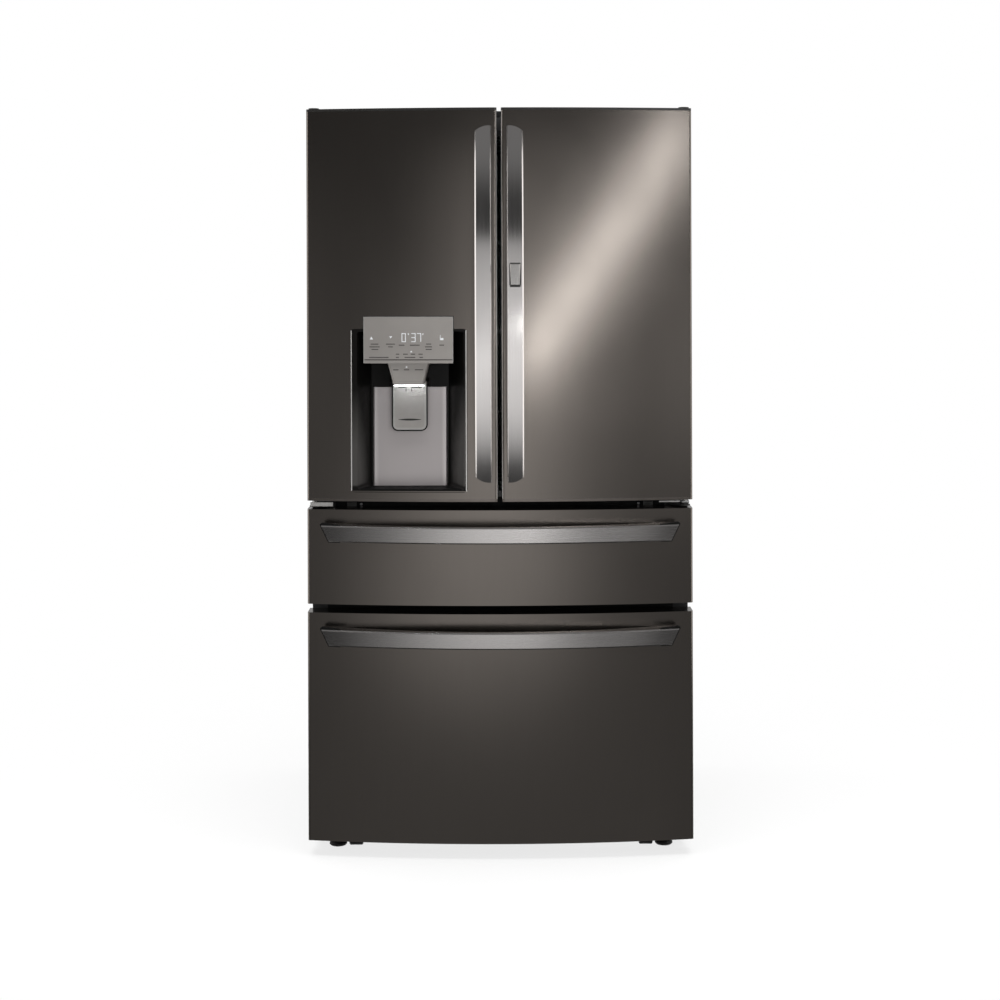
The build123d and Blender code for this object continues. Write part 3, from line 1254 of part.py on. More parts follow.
# Drawer fronts: a bowed pan filled with its liner
def drawer_skin(low, high):
    """A sheet pan with four returned edges, open at the back."""
    outer = bowed(-HALF_FRONT, HALF_FRONT, DOOR_REAR, low, high, 0, EDGE_ROUND)
    inner = bowed(
        -HALF_FRONT + SKIN, HALF_FRONT - SKIN, DOOR_REAR + PAST, low + SKIN, high - SKIN,
        SKIN, EDGE_ROUND - SKIN,
    )
    return outer - inner


def drawer_fill(low, high):
    """The filled liner inside a drawer skin."""
    return door_fill(-HALF_FRONT, HALF_FRONT, DOOR_REAR, low + SKIN, high - SKIN)


save("middle_skin", drawer_skin(MIDDLE_BOTTOM, MIDDLE_TOP))
save("middle_front_liner", drawer_fill(MIDDLE_BOTTOM, MIDDLE_TOP))
save("freezer_skin", drawer_skin(FREEZER_BOTTOM, FREEZER_TOP))
save("freezer_front_liner", drawer_fill(FREEZER_BOTTOM, FREEZER_TOP))


def drawer_gasket(floor, ceiling):
    """The ring that seals a drawer front on the case."""
    return frame_upright(
        -GASKET_OUTER, GASKET_OUTER, floor - FLANGE + GASKET_LAP, ceiling + FLANGE - GASKET_LAP,
        DOOR_REAR, GASKET_FACE, GASKET_WIDTH, GASKET_ROUND,
    )


save("middle_gasket", drawer_gasket(MIDDLE_FLOOR, MIDDLE_CEILING))
save("freezer_gasket", drawer_gasket(FREEZER_FLOOR, FREEZER_CEILING))

# Drawer handles: a bar arched in plan with slanting ends
BAR_INSET = 36
BAR_HEIGHT = 38
BAR_DROP = 33
BAR_SLANT = 19
BAR_END = 40
BAR_FOOT = 45
BAR_HALF = HALF_FRONT - BAR_INSET


def drawer_handle(top):
    """A bar across a drawer front, its feet trimmed to the bowed skin."""
    low = top - BAR_HEIGHT
    face_end = bow_y(BAR_HALF) - BAR_END
    seat_end = bow_y(BAR_HALF) + PAST
    foot_x = BAR_HALF - BAR_FOOT
    seat_foot = bow_y(foot_x) + PAST
    face = ThreePointArc((-BAR_HALF, face_end), (0, HANDLE_FACE), (BAR_HALF, face_end))
    grip = ThreePointArc((foot_x, seat_foot), (0, HANDLE_FACE + HANDLE_THICK), (-foot_x, seat_foot))
    right = Polyline((BAR_HALF, face_end), (BAR_HALF, seat_end), (foot_x, seat_foot))
    left = Polyline((-foot_x, seat_foot), (-BAR_HALF, seat_end), (-BAR_HALF, face_end))
    plan = make_face([face, *right.edges(), grip, *left.edges()])
    bar = extrude(Pos(0, 0, low) * plan, amount=BAR_HEIGHT)
    bar = chamfer(bar.edges().filter_by(GeomType.CIRCLE).sort_by(Axis.Y)[:2], HANDLE_CHAMFER)
    front = make_face(
        Polyline(
            (-BAR_HALF, top), (-BAR_HALF + BAR_SLANT, low), (BAR_HALF - BAR_SLANT, low), (BAR_HALF, top),
            close=True,
        ).edges()
    )
    outline = extrude(Pos(0, DOOR_REAR, 0) * (Plane.XZ * front), amount=3 * HANDLE_REACH)
    return (bar & outline) - bowed(-HALF_FRONT, HALF_FRONT, DOOR_REAR, low - PAST, top + PAST)


save("middle_handle", drawer_handle(MIDDLE_TOP - BAR_DROP))
save("freezer_handle", drawer_handle(FREEZER_TOP - BAR_DROP))

# Drawer bins: moulded bins behind the fronts, with a bearer along each side for the runner
BIN_SIDE_GAP = 27
BIN_REAR_GAP = 25
BIN_LIFT = 12
BIN_WALL = 3
BIN_ROUND = 16
BEARER_HALF = 10
BEARER_GAP = 20
MIDDLE_BIN_DROP = 20
FREEZER_BIN_RISE = 40
BIN_HALF = CAVITY_HALF - BIN_SIDE_GAP
BIN_BACK = CASE_FRONT + SLIDE_SETBACK + SLIDE_LENGTH - BIN_REAR_GAP


def drawer_bin(low, high, slide_z):
    """A bin and its two bearers."""
    body = open_bin(-BIN_HALF, BIN_HALF, DOOR_REAR, BIN_BACK, low, high, BIN_WALL, BIN_ROUND)
    bearer = block(
        BIN_HALF - BIN_WALL / 2, SLIDE_FACE, DOOR_REAR, BIN_BACK - BEARER_GAP,
        slide_z - BEARER_HALF, slide_z + BEARER_HALF,
    )
    return body + bearer + mirrored(bearer)


MIDDLE_BIN_HIGH = MIDDLE_CEILING - MIDDLE_BIN_DROP
FREEZER_BIN_HIGH = FREEZER_SLIDE_Z + FREEZER_BIN_RISE
save("middle_bin", drawer_bin(MIDDLE_FLOOR + BIN_LIFT, MIDDLE_BIN_HIGH, MIDDLE_SLIDE_Z))

RIM_LEDGE = 14
LEDGE_THICK = 5
freezer_bin = drawer_bin(FREEZER_FLOOR + BIN_LIFT, FREEZER_BIN_HIGH, FREEZER_SLIDE_Z)
bin_ledge = block(
    BIN_HALF - RIM_LEDGE, BIN_HALF - BIN_WALL / 2, DOOR_REAR + BEARER_GAP, BIN_BACK - BEARER_GAP,
    FREEZER_BIN_HIGH - LEDGE_THICK, FREEZER_BIN_HIGH,
)
save("freezer_bin", freezer_bin + bin_ledge + mirrored(bin_ledge))

# Freezer tray: runs on the ledges of the bin under it
TRAY_DEPTH = 270
TRAY_HEIGHT = 85
TRAY_GAP = 12
TRAY_SIDE_GAP = 4
TRAY_FRONT = DOOR_REAR + TRAY_GAP
tray_low = FREEZER_BIN_HIGH + SEAL_GAP
save(
    "freezer_tray",
    open_bin(
        -BIN_HALF + TRAY_SIDE_GAP, BIN_HALF - TRAY_SIDE_GAP, TRAY_FRONT, TRAY_FRONT + TRAY_DEPTH,
        tray_low, tray_low + TRAY_HEIGHT, BIN_WALL, BIN_ROUND,
    ),
)
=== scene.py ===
import math

import bpy
import numpy as np
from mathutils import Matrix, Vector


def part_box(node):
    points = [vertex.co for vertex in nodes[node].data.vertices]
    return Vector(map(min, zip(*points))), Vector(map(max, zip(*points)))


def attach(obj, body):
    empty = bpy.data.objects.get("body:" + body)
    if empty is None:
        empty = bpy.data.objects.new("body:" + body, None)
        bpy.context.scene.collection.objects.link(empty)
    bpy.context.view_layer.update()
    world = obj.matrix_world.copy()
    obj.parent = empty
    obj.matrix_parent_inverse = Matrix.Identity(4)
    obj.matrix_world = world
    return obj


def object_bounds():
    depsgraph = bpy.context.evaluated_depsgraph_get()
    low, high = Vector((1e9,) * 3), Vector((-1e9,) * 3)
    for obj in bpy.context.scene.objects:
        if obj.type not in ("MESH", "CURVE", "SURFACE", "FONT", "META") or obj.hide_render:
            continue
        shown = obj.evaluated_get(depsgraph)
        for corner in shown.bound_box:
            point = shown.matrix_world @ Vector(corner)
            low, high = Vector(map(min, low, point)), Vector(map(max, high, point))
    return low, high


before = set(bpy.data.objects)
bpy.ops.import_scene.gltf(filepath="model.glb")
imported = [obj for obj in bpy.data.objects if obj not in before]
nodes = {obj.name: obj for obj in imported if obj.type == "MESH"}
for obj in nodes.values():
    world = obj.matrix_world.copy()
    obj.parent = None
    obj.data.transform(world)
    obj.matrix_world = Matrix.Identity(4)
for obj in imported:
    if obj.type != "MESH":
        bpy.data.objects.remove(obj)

cad_low, cad_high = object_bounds()


# Cabinet wrapper and the cross rails between the compartments: thin sheet steel, bent to shape and
# powder-coated near black, so the coat shows a fine orange peel and a slightly uneven gloss. The rails are
# coloured darker and duller than the wrapper, as painted shade of the gaps they sit in.
NOISE_LOW = 0.3
NOISE_HIGH = 0.7


def new_finish(name, colour, roughness, metallic=0.0):
    """A material with one Principled shader; what is even all over is set on the shader itself."""
    material = bpy.data.materials.new(name)
    material.use_nodes = True
    tree = material.node_tree
    shader = tree.nodes["Principled BSDF"]
    shader.inputs["Base Color"].default_value = (*colour, 1.0)
    shader.inputs["Roughness"].default_value = roughness
    shader.inputs["Metallic"].default_value = metallic
    return material, tree, shader


def opened(material):
    """The node tree of a finish and its shader, for what the coat alone does not give."""
    return material.node_tree, material.node_tree.nodes["Principled BSDF"]


def grain(tree, cycles, detail=2.0):
    """Noise on the piece's own coordinates, with so many cycles per metre: one number for every way, or
    one each along X, Y and Z."""
    place = tree.nodes.new("ShaderNodeTexCoord")
    stretch = tree.nodes.new("ShaderNodeMapping")
    stretch.inputs["Scale"].default_value = np.broadcast_to(cycles, 3).astype(float).tolist()
    noise = tree.nodes.new("ShaderNodeTexNoise")
    noise.inputs["Scale"].default_value = 1.0
    noise.inputs["Detail"].default_value = detail
    tree.links.new(place.outputs["Object"], stretch.inputs["Vector"])
    tree.links.new(stretch.outputs["Vector"], noise.inputs["Vector"])
    return noise.outputs["Fac"]


def passage(tree, value, start, end, first=0.0, last=1.0, ease="LINEAR"):
    """Value that passes from a first to a last number while the given one goes from start to end."""
    span = tree.nodes.new("ShaderNodeMapRange")
    span.interpolation_type = ease
    for name, number in (("From Min", start), ("From Max", end), ("To Min", first), ("To Max", last)):
        span.inputs[name].default_value = number
    tree.links.new(value, span.inputs["Value"])
    return span.outputs["Result"]


def vary(tree, value, socket, low, high):
    """Let a noise value run a shader socket between two numbers."""
    tree.links.new(passage(tree, value, NOISE_LOW, NOISE_HIGH, low, high), socket)


def tint(tree, shader, value, dark, light):
    """Let a value run the colour of a finish between two tones."""
    ramp = tree.nodes.new("ShaderNodeValToRGB")
    first, last = ramp.color_ramp.elements
    first.position = NOISE_LOW
    first.color = (*dark, 1.0)
    last.position = NOISE_HIGH
    last.color = (*light, 1.0)
    tree.links.new(value, ramp.inputs["Fac"])
    tree.links.new(ramp.outputs["Color"], shader.inputs["Base Color"])


def relief(tree, shader, value, depth, strength):
    """Let a noise value raise and sink the surface by so many metres."""
    bump = tree.nodes.new("ShaderNodeBump")
    bump.inputs["Strength"].default_value = strength
    bump.inputs["Distance"].default_value = depth
    tree.links.new(value, bump.inputs["Height"])
    tree.links.new(bump.outputs["Normal"], shader.inputs["Normal"])


def coat(name, gloss, texture=None, tones=None, colour=None, metallic=0.0, specular=0.5):
    """A finish made uneven by noise. Each kind of unevenness is given by the cycles per metre and two ends:
    the lowest and highest roughness for the gloss, the depth in metres and the strength for the texture,
    and two colours for the tones. A finish without tones has one even colour."""
    material, tree, shader = new_finish(name, colour or tones[1], gloss[1], metallic)
    shader.inputs["Specular IOR Level"].default_value = specular
    if tones:
        cycles, dark, light = tones
        tint(tree, shader, grain(tree, cycles), dark, light)
    cycles, smoothest, roughest = gloss
    vary(tree, grain(tree, cycles), shader.inputs["Roughness"], smoothest, roughest)
    if texture:
        cycles, depth, strength = texture
        relief(tree, shader, grain(tree, cycles), depth, strength)
    return material


def dress(material, *names):
    """Put a finish in the slot of CAD pieces."""
    for name in names:
        nodes[name].data.materials[0] = material


case_paint = coat(
    "case_paint", gloss=(40, 0.36, 0.5), texture=(420, 0.00025, 0.5),
    tones=(5, (0.026, 0.026, 0.027), (0.036, 0.035, 0.036)),
)
dress(case_paint, "cabinet_shell")

# painted shade: the rails' colour is darker and their specular lower than the wrapper's, for the shaded gaps
rail_paint_and_gap_shade = coat(
    "rail_paint_and_gap_shade", gloss=(60, 0.48, 0.62), texture=(420, 0.0002, 0.4),
    tones=(12, (0.005, 0.005, 0.005), (0.008, 0.008, 0.008)), specular=0.2,
)
dress(rail_paint_and_gap_shade, "divider_rails")


# Rear panel, machine cover, base frame and slides: zinc-coated sheet steel that shows its crystal
# spangle. The hinges are thick plates with a dark coat, and their lower pins turn in bright bosses.
def spangle(tree, cycles):
    """Grey value that jumps from one zinc crystal to the next."""
    place = tree.nodes.new("ShaderNodeTexCoord")
    cells = tree.nodes.new("ShaderNodeTexVoronoi")
    cells.inputs["Scale"].default_value = cycles
    split = tree.nodes.new("ShaderNodeSeparateColor")
    tree.links.new(place.outputs["Object"], cells.inputs["Vector"])
    tree.links.new(cells.outputs["Color"], split.inputs["Color"])
    return split.outputs["Red"]


SPANGLE = 130
zinc_steel = coat(
    "zinc_steel", gloss=(60, 0.34, 0.48), texture=(250, 0.0002, 0.3), colour=(0.5, 0.51, 0.52), metallic=1.0
)
tree, shader = opened(zinc_steel)
tint(tree, shader, spangle(tree, SPANGLE), (0.47, 0.48, 0.49), (0.53, 0.54, 0.55))
dress(
    zinc_steel, "rear_panel", "machine_cover", "base_frame", "cabinet_slides", "middle_slide_links",
    "freezer_slide_links", "middle_runners", "freezer_runners",
)


def step_along(tree, axis, start, end):
    """Value that climbs from 0 to 1 between two places along one of the piece's own axes."""
    place = tree.nodes.new("ShaderNodeTexCoord")
    split = tree.nodes.new("ShaderNodeSeparateXYZ")
    tree.links.new(place.outputs["Object"], split.inputs["Vector"])
    return passage(tree, split.outputs[axis], start, end)


def joined(tree, operation, *values):
    """What a math operation makes of its values, each another node's value or a plain number."""
    result = tree.nodes.new("ShaderNodeMath")
    result.operation = operation
    for socket, value in zip(result.inputs, values):
        if isinstance(value, bpy.types.NodeSocket):
            tree.links.new(value, socket)
        else:
            socket.default_value = value
    return result.outputs["Value"]


HINGE_COAT = (0.05, 0.05, 0.049)
NICKEL = (0.7, 0.69, 0.67)
ARM_TOP = 0.828
ARM_EDGE = 0.0005
BOSSES_END = 1.2
TOP_HINGES_START = 1.3
hinge_steel = coat(
    "hinge_steel", gloss=(150, 0.48, 0.62), texture=(700, 0.0001, 0.3), colour=NICKEL, metallic=0.55
)
tree, shader = opened(hinge_steel)
over_arms = step_along(tree, "Z", ARM_TOP - ARM_EDGE, ARM_TOP)
under_top = step_along(tree, "Z", TOP_HINGES_START, BOSSES_END)
tint(tree, shader, joined(tree, "MULTIPLY", over_arms, under_top), HINGE_COAT, NICKEL)
dress(hinge_steel, "door_hinges")


# Door stops and screws on the upper cross rail, seen in the gap over the middle drawer: a moulded
# buffer near each end, and beside it the head of the screw that holds the rail.
CREASE = math.radians(40)


def lofted(name, rings):
    """Closed bodies from rings of points, in an array of bodies, rings, points and XYZ: each ring is
    joined to the next, and the first and the last ring are filled. Rings turn left about their path."""
    bodies, rows, points, _ = rings.shape
    index = np.arange(bodies * rows * points).reshape(bodies, rows, points)
    near = index[:, :-1]
    far = index[:, 1:]
    sides = np.stack([near, np.roll(near, -1, 2), np.roll(far, -1, 2), far], -1).reshape(-1, 4)
    caps = np.concatenate([index[:, 0, ::-1], index[:, -1]])
    mesh = bpy.data.meshes.new(name)
    mesh.from_pydata(rings.reshape(-1, 3).tolist(), [], sides.tolist() + caps.tolist())
    mesh.shade_smooth()
    mesh.set_sharp_from_angle(angle=CREASE)
    piece = bpy.data.objects.new(name, mesh)
    bpy.context.scene.collection.objects.link(piece)
    return piece


def fit(name, rings, body, material):
    """Make a new piece from its rings, give it its finish, and let it ride on a body."""
    piece = lofted(name, rings)
    piece.data.materials.append(material)
    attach(piece, body)


def rounded(width, height, radius, steps=4):
    """Outline of a rectangle with round corners about the origin, turning left from the first axis."""
    quarter = np.linspace(0, np.pi / 2, steps)
    turn = np.concatenate([quarter + k * np.pi / 2 for k in range(4)])
    right = np.repeat([1.0, -1.0, -1.0, 1.0], steps)
    up = np.repeat([1.0, 1.0, -1.0, -1.0], steps)
    first = right * (width / 2 - radius) + radius * np.cos(turn)
    second = up * (height / 2 - radius) + radius * np.sin(turn)
    return np.stack([first, second], -1)


def rails(size, places, ends):
    """Rings of round-edged bars along X. Size gives the depth in Y, the height in Z and the radius of the
    edges; places and ends hold each bar's middle in Y and Z and its two ends in X."""
    outline = rounded(*size)
    places = np.asarray(places, float)[:, None, None, :]
    section = np.broadcast_to(places + outline, (places.shape[0], 2, *outline.shape))
    x = np.broadcast_to(np.asarray(ends, float)[:, :, None, None], (*section.shape[:3], 1))
    return np.concatenate([x, section], -1)


def studs(places, radius, height, along, steps=20):
    """Rings of domed heads: the head rises from its place along the given direction, keeps its radius for
    a third of its height and is rounded over from there."""
    places = np.asarray(places, float)
    along = np.asarray(along, float)
    askew = (0.3, 0.5, 0.8)
    side = np.cross(along, askew)
    side = side / np.linalg.norm(side)
    up = np.cross(along, side)
    turn = np.linspace(0, 2 * np.pi, steps, endpoint=False)
    circle = np.cos(turn)[:, None] * side + np.sin(turn)[:, None] * up
    rise = np.array([0.0, 0.35, 0.7, 0.92, 1.0])
    shrink = np.array([1.0, 1.0, 0.9, 0.65, 0.3])
    head = shrink[:, None, None] * radius * circle + rise[:, None, None] * height * along
    return places[:, None, None, :] + head


CASE_FRONT = -0.2855
GAP_HEIGHT = 0.82
STOP_NEAR = 0.343
STOP_FAR = 0.366
STOP_DEPTH = 0.006
STOP_SIZE = (STOP_DEPTH, 0.012, 0.0015)
stop_places = [(CASE_FRONT - STOP_DEPTH / 2, GAP_HEIGHT)] * 2
stop_ends = [(-STOP_FAR, -STOP_NEAR), (STOP_NEAR, STOP_FAR)]
stop_plastic = coat(
    "stop_plastic", gloss=(300, 0.42, 0.6), texture=(1200, 0.0002, 0.4),
    tones=(90, (0.08, 0.078, 0.075), (0.11, 0.108, 0.104)),
)
fit("rail_stops", rails(STOP_SIZE, stop_places, stop_ends), "cabinet", stop_plastic)

SCREW_X = 0.332
SCREW_RADIUS = 0.0038
SCREW_HEIGHT = 0.0022
FORWARD = (0, -1, 0)
screw_places = [(-SCREW_X, CASE_FRONT, GAP_HEIGHT), (SCREW_X, CASE_FRONT, GAP_HEIGHT)]
screw_rings = studs(screw_places, SCREW_RADIUS, SCREW_HEIGHT, FORWARD)
screw_steel = coat(
    "screw_steel", gloss=(900, 0.25, 0.5), texture=(1500, 0.0001, 0.4), colour=(0.4, 0.4, 0.41), metallic=1.0
)
fit("rail_screws", screw_rings, "cabinet", screw_steel)


# Bright nickel at the middle hinges, seen in the gap under the doors: on the left the bent front lip of
# the hinge arm, on the right a thinner bearing strip, screwed under the front edge of the inner door.
LIP_SIZE = (0.003, 0.0104, 0.001)
LIP_Z = 0.8274
LIP_ENDS = (-0.4475, -0.394)
BEARING_SIZE = (0.0036, 0.0036, 0.0008)
BEARING_PLACE = (-0.3501, 0.8318)
BEARING_ENDS = (0.376, 0.424)
satin_nickel = coat(
    "satin_nickel", gloss=(150, 0.48, 0.62), texture=(700, 0.0001, 0.3),
    tones=(40, (0.66, 0.65, 0.63), (0.74, 0.73, 0.71)), metallic=0.55,
)
hinge_low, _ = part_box("door_hinges")
lip_rings = rails(LIP_SIZE, [(hinge_low.y, LIP_Z)], [LIP_ENDS])
fit("hinge_lip", lip_rings, "cabinet", satin_nickel)
bearing_rings = rails(BEARING_SIZE, [BEARING_PLACE], [BEARING_ENDS])
fit("bearing_strip", bearing_rings, "inner_door", satin_nickel)


# Cover strip along the front edge of the case top, between the two hinge covers: a moulded channel over
# the door wires, clipped to the sheet. Its front closes the slot between the door tops.
STRIP_HALF = 0.38
STRIP_DEPTH = 0.03
STRIP_HEIGHT = 0.0155
STRIP_SIZE = (STRIP_DEPTH, STRIP_HEIGHT, 0.003)
_, case_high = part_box("cabinet_shell")
strip_place = (CASE_FRONT + STRIP_DEPTH / 2, case_high.z + STRIP_HEIGHT / 2)
strip_rings = rails(STRIP_SIZE, [strip_place], [(-STRIP_HALF, STRIP_HALF)])
strip_plastic = coat(
    "strip_plastic", gloss=(90, 0.48, 0.62), texture=(900, 0.0002, 0.4),
    tones=(30, (0.008, 0.008, 0.008), (0.013, 0.013, 0.013)),
)
fit("top_strip", strip_rings, "cabinet", strip_plastic)


# Door skins and drawer fronts: steel sheet with a dark coat over a fine upright brush. The sheet is
# bowed across, rolled over at the side edges and glued to the foamed body behind it.
SKIN_BRUSH = (1500, 9, 9)
SKIN_CLOUDS = (5, 5, 4)
BRUSH_DETAIL = 3.0
CLOUD_DETAIL = 4.0
black_stainless, tree, shader = new_finish("black_stainless", (0.156, 0.139, 0.126), 0.22, 1.0)
brush = grain(tree, SKIN_BRUSH, BRUSH_DETAIL)
tint(tree, shader, brush, (0.152, 0.136, 0.123), (0.163, 0.146, 0.132))
vary(tree, grain(tree, SKIN_CLOUDS, CLOUD_DETAIL), shader.inputs["Roughness"], 0.2, 0.25)
relief(tree, shader, brush, 0.00002, 0.15)
dress(black_stainless, "left_door_skin", "right_door_skin", "middle_skin", "freezer_skin")


# Strips along the inner edges of the two doors: a painted highlight, bright steel-coloured lines on both
# sides of the gap where the rounded door edges catch the light.
def along_z(z, left, right, front, back):
    """Rings of bodies that run up Z: at each Z a rectangle between two X and between a front and a back Y.
    Every argument is an array of bodies and steps, or one that spreads to it."""
    z, left, right, front, back = np.broadcast_arrays(z, left, right, front, back)
    corners = [(left, front), (right, front), (right, back), (left, back)]
    return np.stack([np.stack([x, y, z], -1) for x, y in corners], 2)


HIGHLIGHT_WIDTH = 0.0017
HIGHLIGHT_X = 0.0065
HIGHLIGHT_FRONT = -0.3943 - HIGHLIGHT_WIDTH / 2
HIGHLIGHT_END = 0.001
HIGHLIGHT_STEPS = 9
skin_low, skin_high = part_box("left_door_skin")
highlight_z = np.linspace(skin_low.z + HIGHLIGHT_END, skin_high.z - HIGHLIGHT_END, HIGHLIGHT_STEPS)[None]
# painted highlight: a brighter steel colour than the skins, for the light caught on the rounded door edges
edge_highlight_steel = coat(
    "edge_highlight_steel", gloss=((300, 300, 20), 0.36, 0.5), texture=((1500, 1500, 30), 0.00003, 0.3),
    colour=(0.42, 0.4, 0.385), metallic=0.6,
)
for highlight_name, highlight_x, door in (
    ("left_door_edge_highlight", -HIGHLIGHT_X, "left_door"),
    ("right_door_edge_highlight", HIGHLIGHT_X, "outer_door"),
):
    highlight_rings = along_z(highlight_z, highlight_x - HIGHLIGHT_WIDTH / 2, highlight_x + HIGHLIGHT_WIDTH / 2, HIGHLIGHT_FRONT, HIGHLIGHT_FRONT + HIGHLIGHT_WIDTH)
    fit(highlight_name, highlight_rings, door, edge_highlight_steel)


# Hinge covers, mullion flap and fan parts: injection-moulded dark plastic with a fine spark texture
# from the mould. The door caps are of the same plastic, the lower ones lacquered like the doors.
MOULDED = (0.022, 0.021, 0.02)
LACQUER = (0.162, 0.145, 0.132)
LOWER_CAPS_END = 1.0
UPPER_CAPS_START = 1.5
# dark plastic for the covers, flap, fan parts, the panel outline and the button frame, and painted shade in
# the panel's groove and the lever's grip slot
dark_plastic = coat(
    "dark_plastic", gloss=(70, 0.42, 0.58), texture=(900, 0.0002, 0.4),
    tones=(9, (0.019, 0.018, 0.017), (0.026, 0.025, 0.024)),
)
dress(dark_plastic, "hinge_covers", "mullion_flap", "fan_shroud", "condenser_fan")

cap_plastic = coat("cap_plastic", gloss=(70, 0.28, 0.4), texture=(900, 0.0001, 0.3), colour=MOULDED)
tree, shader = opened(cap_plastic)
tint(tree, shader, step_along(tree, "Z", LOWER_CAPS_END, UPPER_CAPS_START), LACQUER, MOULDED)
tree.links.new(step_along(tree, "Z", UPPER_CAPS_START, LOWER_CAPS_END), shader.inputs["Metallic"])
dress(cap_plastic, "left_door_caps", "right_door_caps")


# Handles: bent steel bars, brushed along their length and clear-coated. Each is bolted from inside the
# door at its two feet; the release button in the right one is a darker steel.
BAR_STEEL_TONES = ((0.51, 0.49, 0.48), (0.55, 0.53, 0.52))
BUTTON_TONES = ((0.31, 0.3, 0.29), (0.35, 0.34, 0.33))
UPRIGHT_BRUSH = (1600, 10, 10)
BAR_BRUSH = (10, 10, 1600)


def brushed(name, cycles, roughness, dark, light):
    """Bright steel with its brush lines along the long way of the bar."""
    material, tree, shader = new_finish(name, light, roughness, 1.0)
    lines = grain(tree, cycles, BRUSH_DETAIL)
    tint(tree, shader, lines, dark, light)
    vary(tree, lines, shader.inputs["Roughness"], roughness - 0.02, roughness + 0.03)
    relief(tree, shader, lines, 0.00002, 0.12)
    return material


upright_steel = brushed("upright_handle_steel", UPRIGHT_BRUSH, 0.14, *BAR_STEEL_TONES)
dress(upright_steel, "left_handle", "right_handle")
button_steel = brushed("button_steel", UPRIGHT_BRUSH, 0.2, *BUTTON_TONES)
dress(button_steel, "release_button")
bar_steel = brushed("bar_handle_steel", BAR_BRUSH, 0.26, *BAR_STEEL_TONES)
tree, shader = opened(bar_steel)
across = tree.nodes.new("ShaderNodeTangent")
across.direction_type = "RADIAL"
across.axis = "Z"
tree.links.new(across.outputs["Tangent"], shader.inputs["Tangent"])
shader.inputs["Anisotropic"].default_value = 0.8
shader.inputs["Anisotropic Rotation"].default_value = 0.25
dress(bar_steel, "middle_handle", "freezer_handle")


# Caps on the ends of the drawer handles: moulded shells that the steel bar is pushed into. They close its
# slanting ends, show as a dark outline there and seat the bar on the bowed front. Near each end they also
# rise over the bar's top, less towards its feet, as painted shade of the gap above the bar.
FRONT_HALF = 0.454
BULGE = 0.038
FRONT_CENTRE = -0.3965
BOW = (FRONT_HALF**2 + BULGE**2) / (2 * BULGE)


def front_y(x, proud=0.0):
    """Y of the bowed front at X: a circle about a point behind it, grown by how far a thing stands proud."""
    return FRONT_CENTRE + BOW - np.sqrt((BOW + proud) ** 2 - np.asarray(x, float) ** 2)


def along_x(x, low, high, front, back):
    """Rings of bodies that run along X: at each X a rectangle between a low and a high Z and between a
    front and a back Y. Every argument is an array of bodies and steps, or one that spreads to it."""
    x, low, high, front, back = np.broadcast_arrays(x, low, high, front, back)
    corners = [(front, low), (back, low), (back, high), (front, high)]
    return np.stack([np.stack([x, y, z], -1) for y, z in corners], 2)


BAR_HALF = 0.418
BAR_SLANT = 0.5
BAR_FOOT = 0.045
BAR_SAG = 0.056
BAR_ARCH = (BAR_HALF**2 + BAR_SAG**2) / (2 * BAR_SAG)
CAP_WALL = 0.0012
CAP_END = 0.0032
CAP_SHADE_RISE = 0.0045
CAP_BACK = 0.003
CAP_DEPTH = 0.013
SLANT_STEPS = 9
STRAIGHT_STEPS = 6
# black plastic for the handle caps and the drip grille, and painted shade for the band round the lever and
# the nozzle shadows on it
black_plastic_and_shade = coat(
    "black_plastic_and_shade", gloss=(200, 0.5, 0.7), texture=(900, 0.0001, 0.3),
    tones=(60, (0.003, 0.003, 0.003), (0.006, 0.006, 0.006)), specular=0.15,
)
for bar, drawer in (("middle_handle", "middle_drawer"), ("freezer_handle", "freezer_drawer")):
    bar_low, bar_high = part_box(bar)
    cap_low = bar_low.z - CAP_WALL
    cap_high = bar_high.z + CAP_WALL
    tip = -BAR_HALF - CAP_END
    corner = tip + BAR_SLANT * (cap_high - cap_low)
    slant_x = np.linspace(tip, corner, SLANT_STEPS)
    straight_x = np.linspace(corner, BAR_FOOT - BAR_HALF, STRAIGHT_STEPS)[1:]
    left_x = np.concatenate([slant_x, straight_x])
    left_floor = np.maximum(cap_low, cap_high - (left_x - tip) / BAR_SLANT)
    fall = (left_x - tip) / (left_x[-1] - tip)
    # painted shade: the cap's top stands above the bar's, most at the tip, for the shade above the bar
    left_top = cap_high + np.minimum(CAP_SHADE_RISE * (1 - fall), left_x - tip + CAP_WALL / 4)
    cap_x = np.stack([left_x, -left_x[::-1]])
    cap_floor = np.stack([left_floor, left_floor[::-1]])
    cap_top = np.stack([left_top, left_top[::-1]])
    cap_front = cad_low.y + BAR_ARCH - np.sqrt(BAR_ARCH**2 - cap_x**2) + CAP_BACK
    cap_rear = np.minimum(cap_front + CAP_DEPTH, front_y(cap_x))
    cap_rings = along_x(cap_x, cap_floor, cap_top, cap_front, cap_rear)
    fit(bar + "_caps", cap_rings, drawer, black_plastic_and_shade)


# Frame round the release button: a dark moulded surround let into the right handle. It follows the
# arch of the bar, with a wider shadow strip under the button than over it.
HANDLE_SAG = 0.0536
FRAME_SIDE = 0.0016
FRAME_OVER = 0.0022
FRAME_UNDER = 0.0042
FRAME_PROUD = 0.0003
FRAME_DEPTH = 0.001
FRAME_STEPS = 7
button_low, button_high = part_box("release_button")
handle_low, handle_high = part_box("right_handle")
handle_middle = (handle_low.z + handle_high.z) / 2
handle_half = (handle_high.z - handle_low.z) / 2
handle_arch = (handle_half**2 + HANDLE_SAG**2) / (2 * HANDLE_SAG)
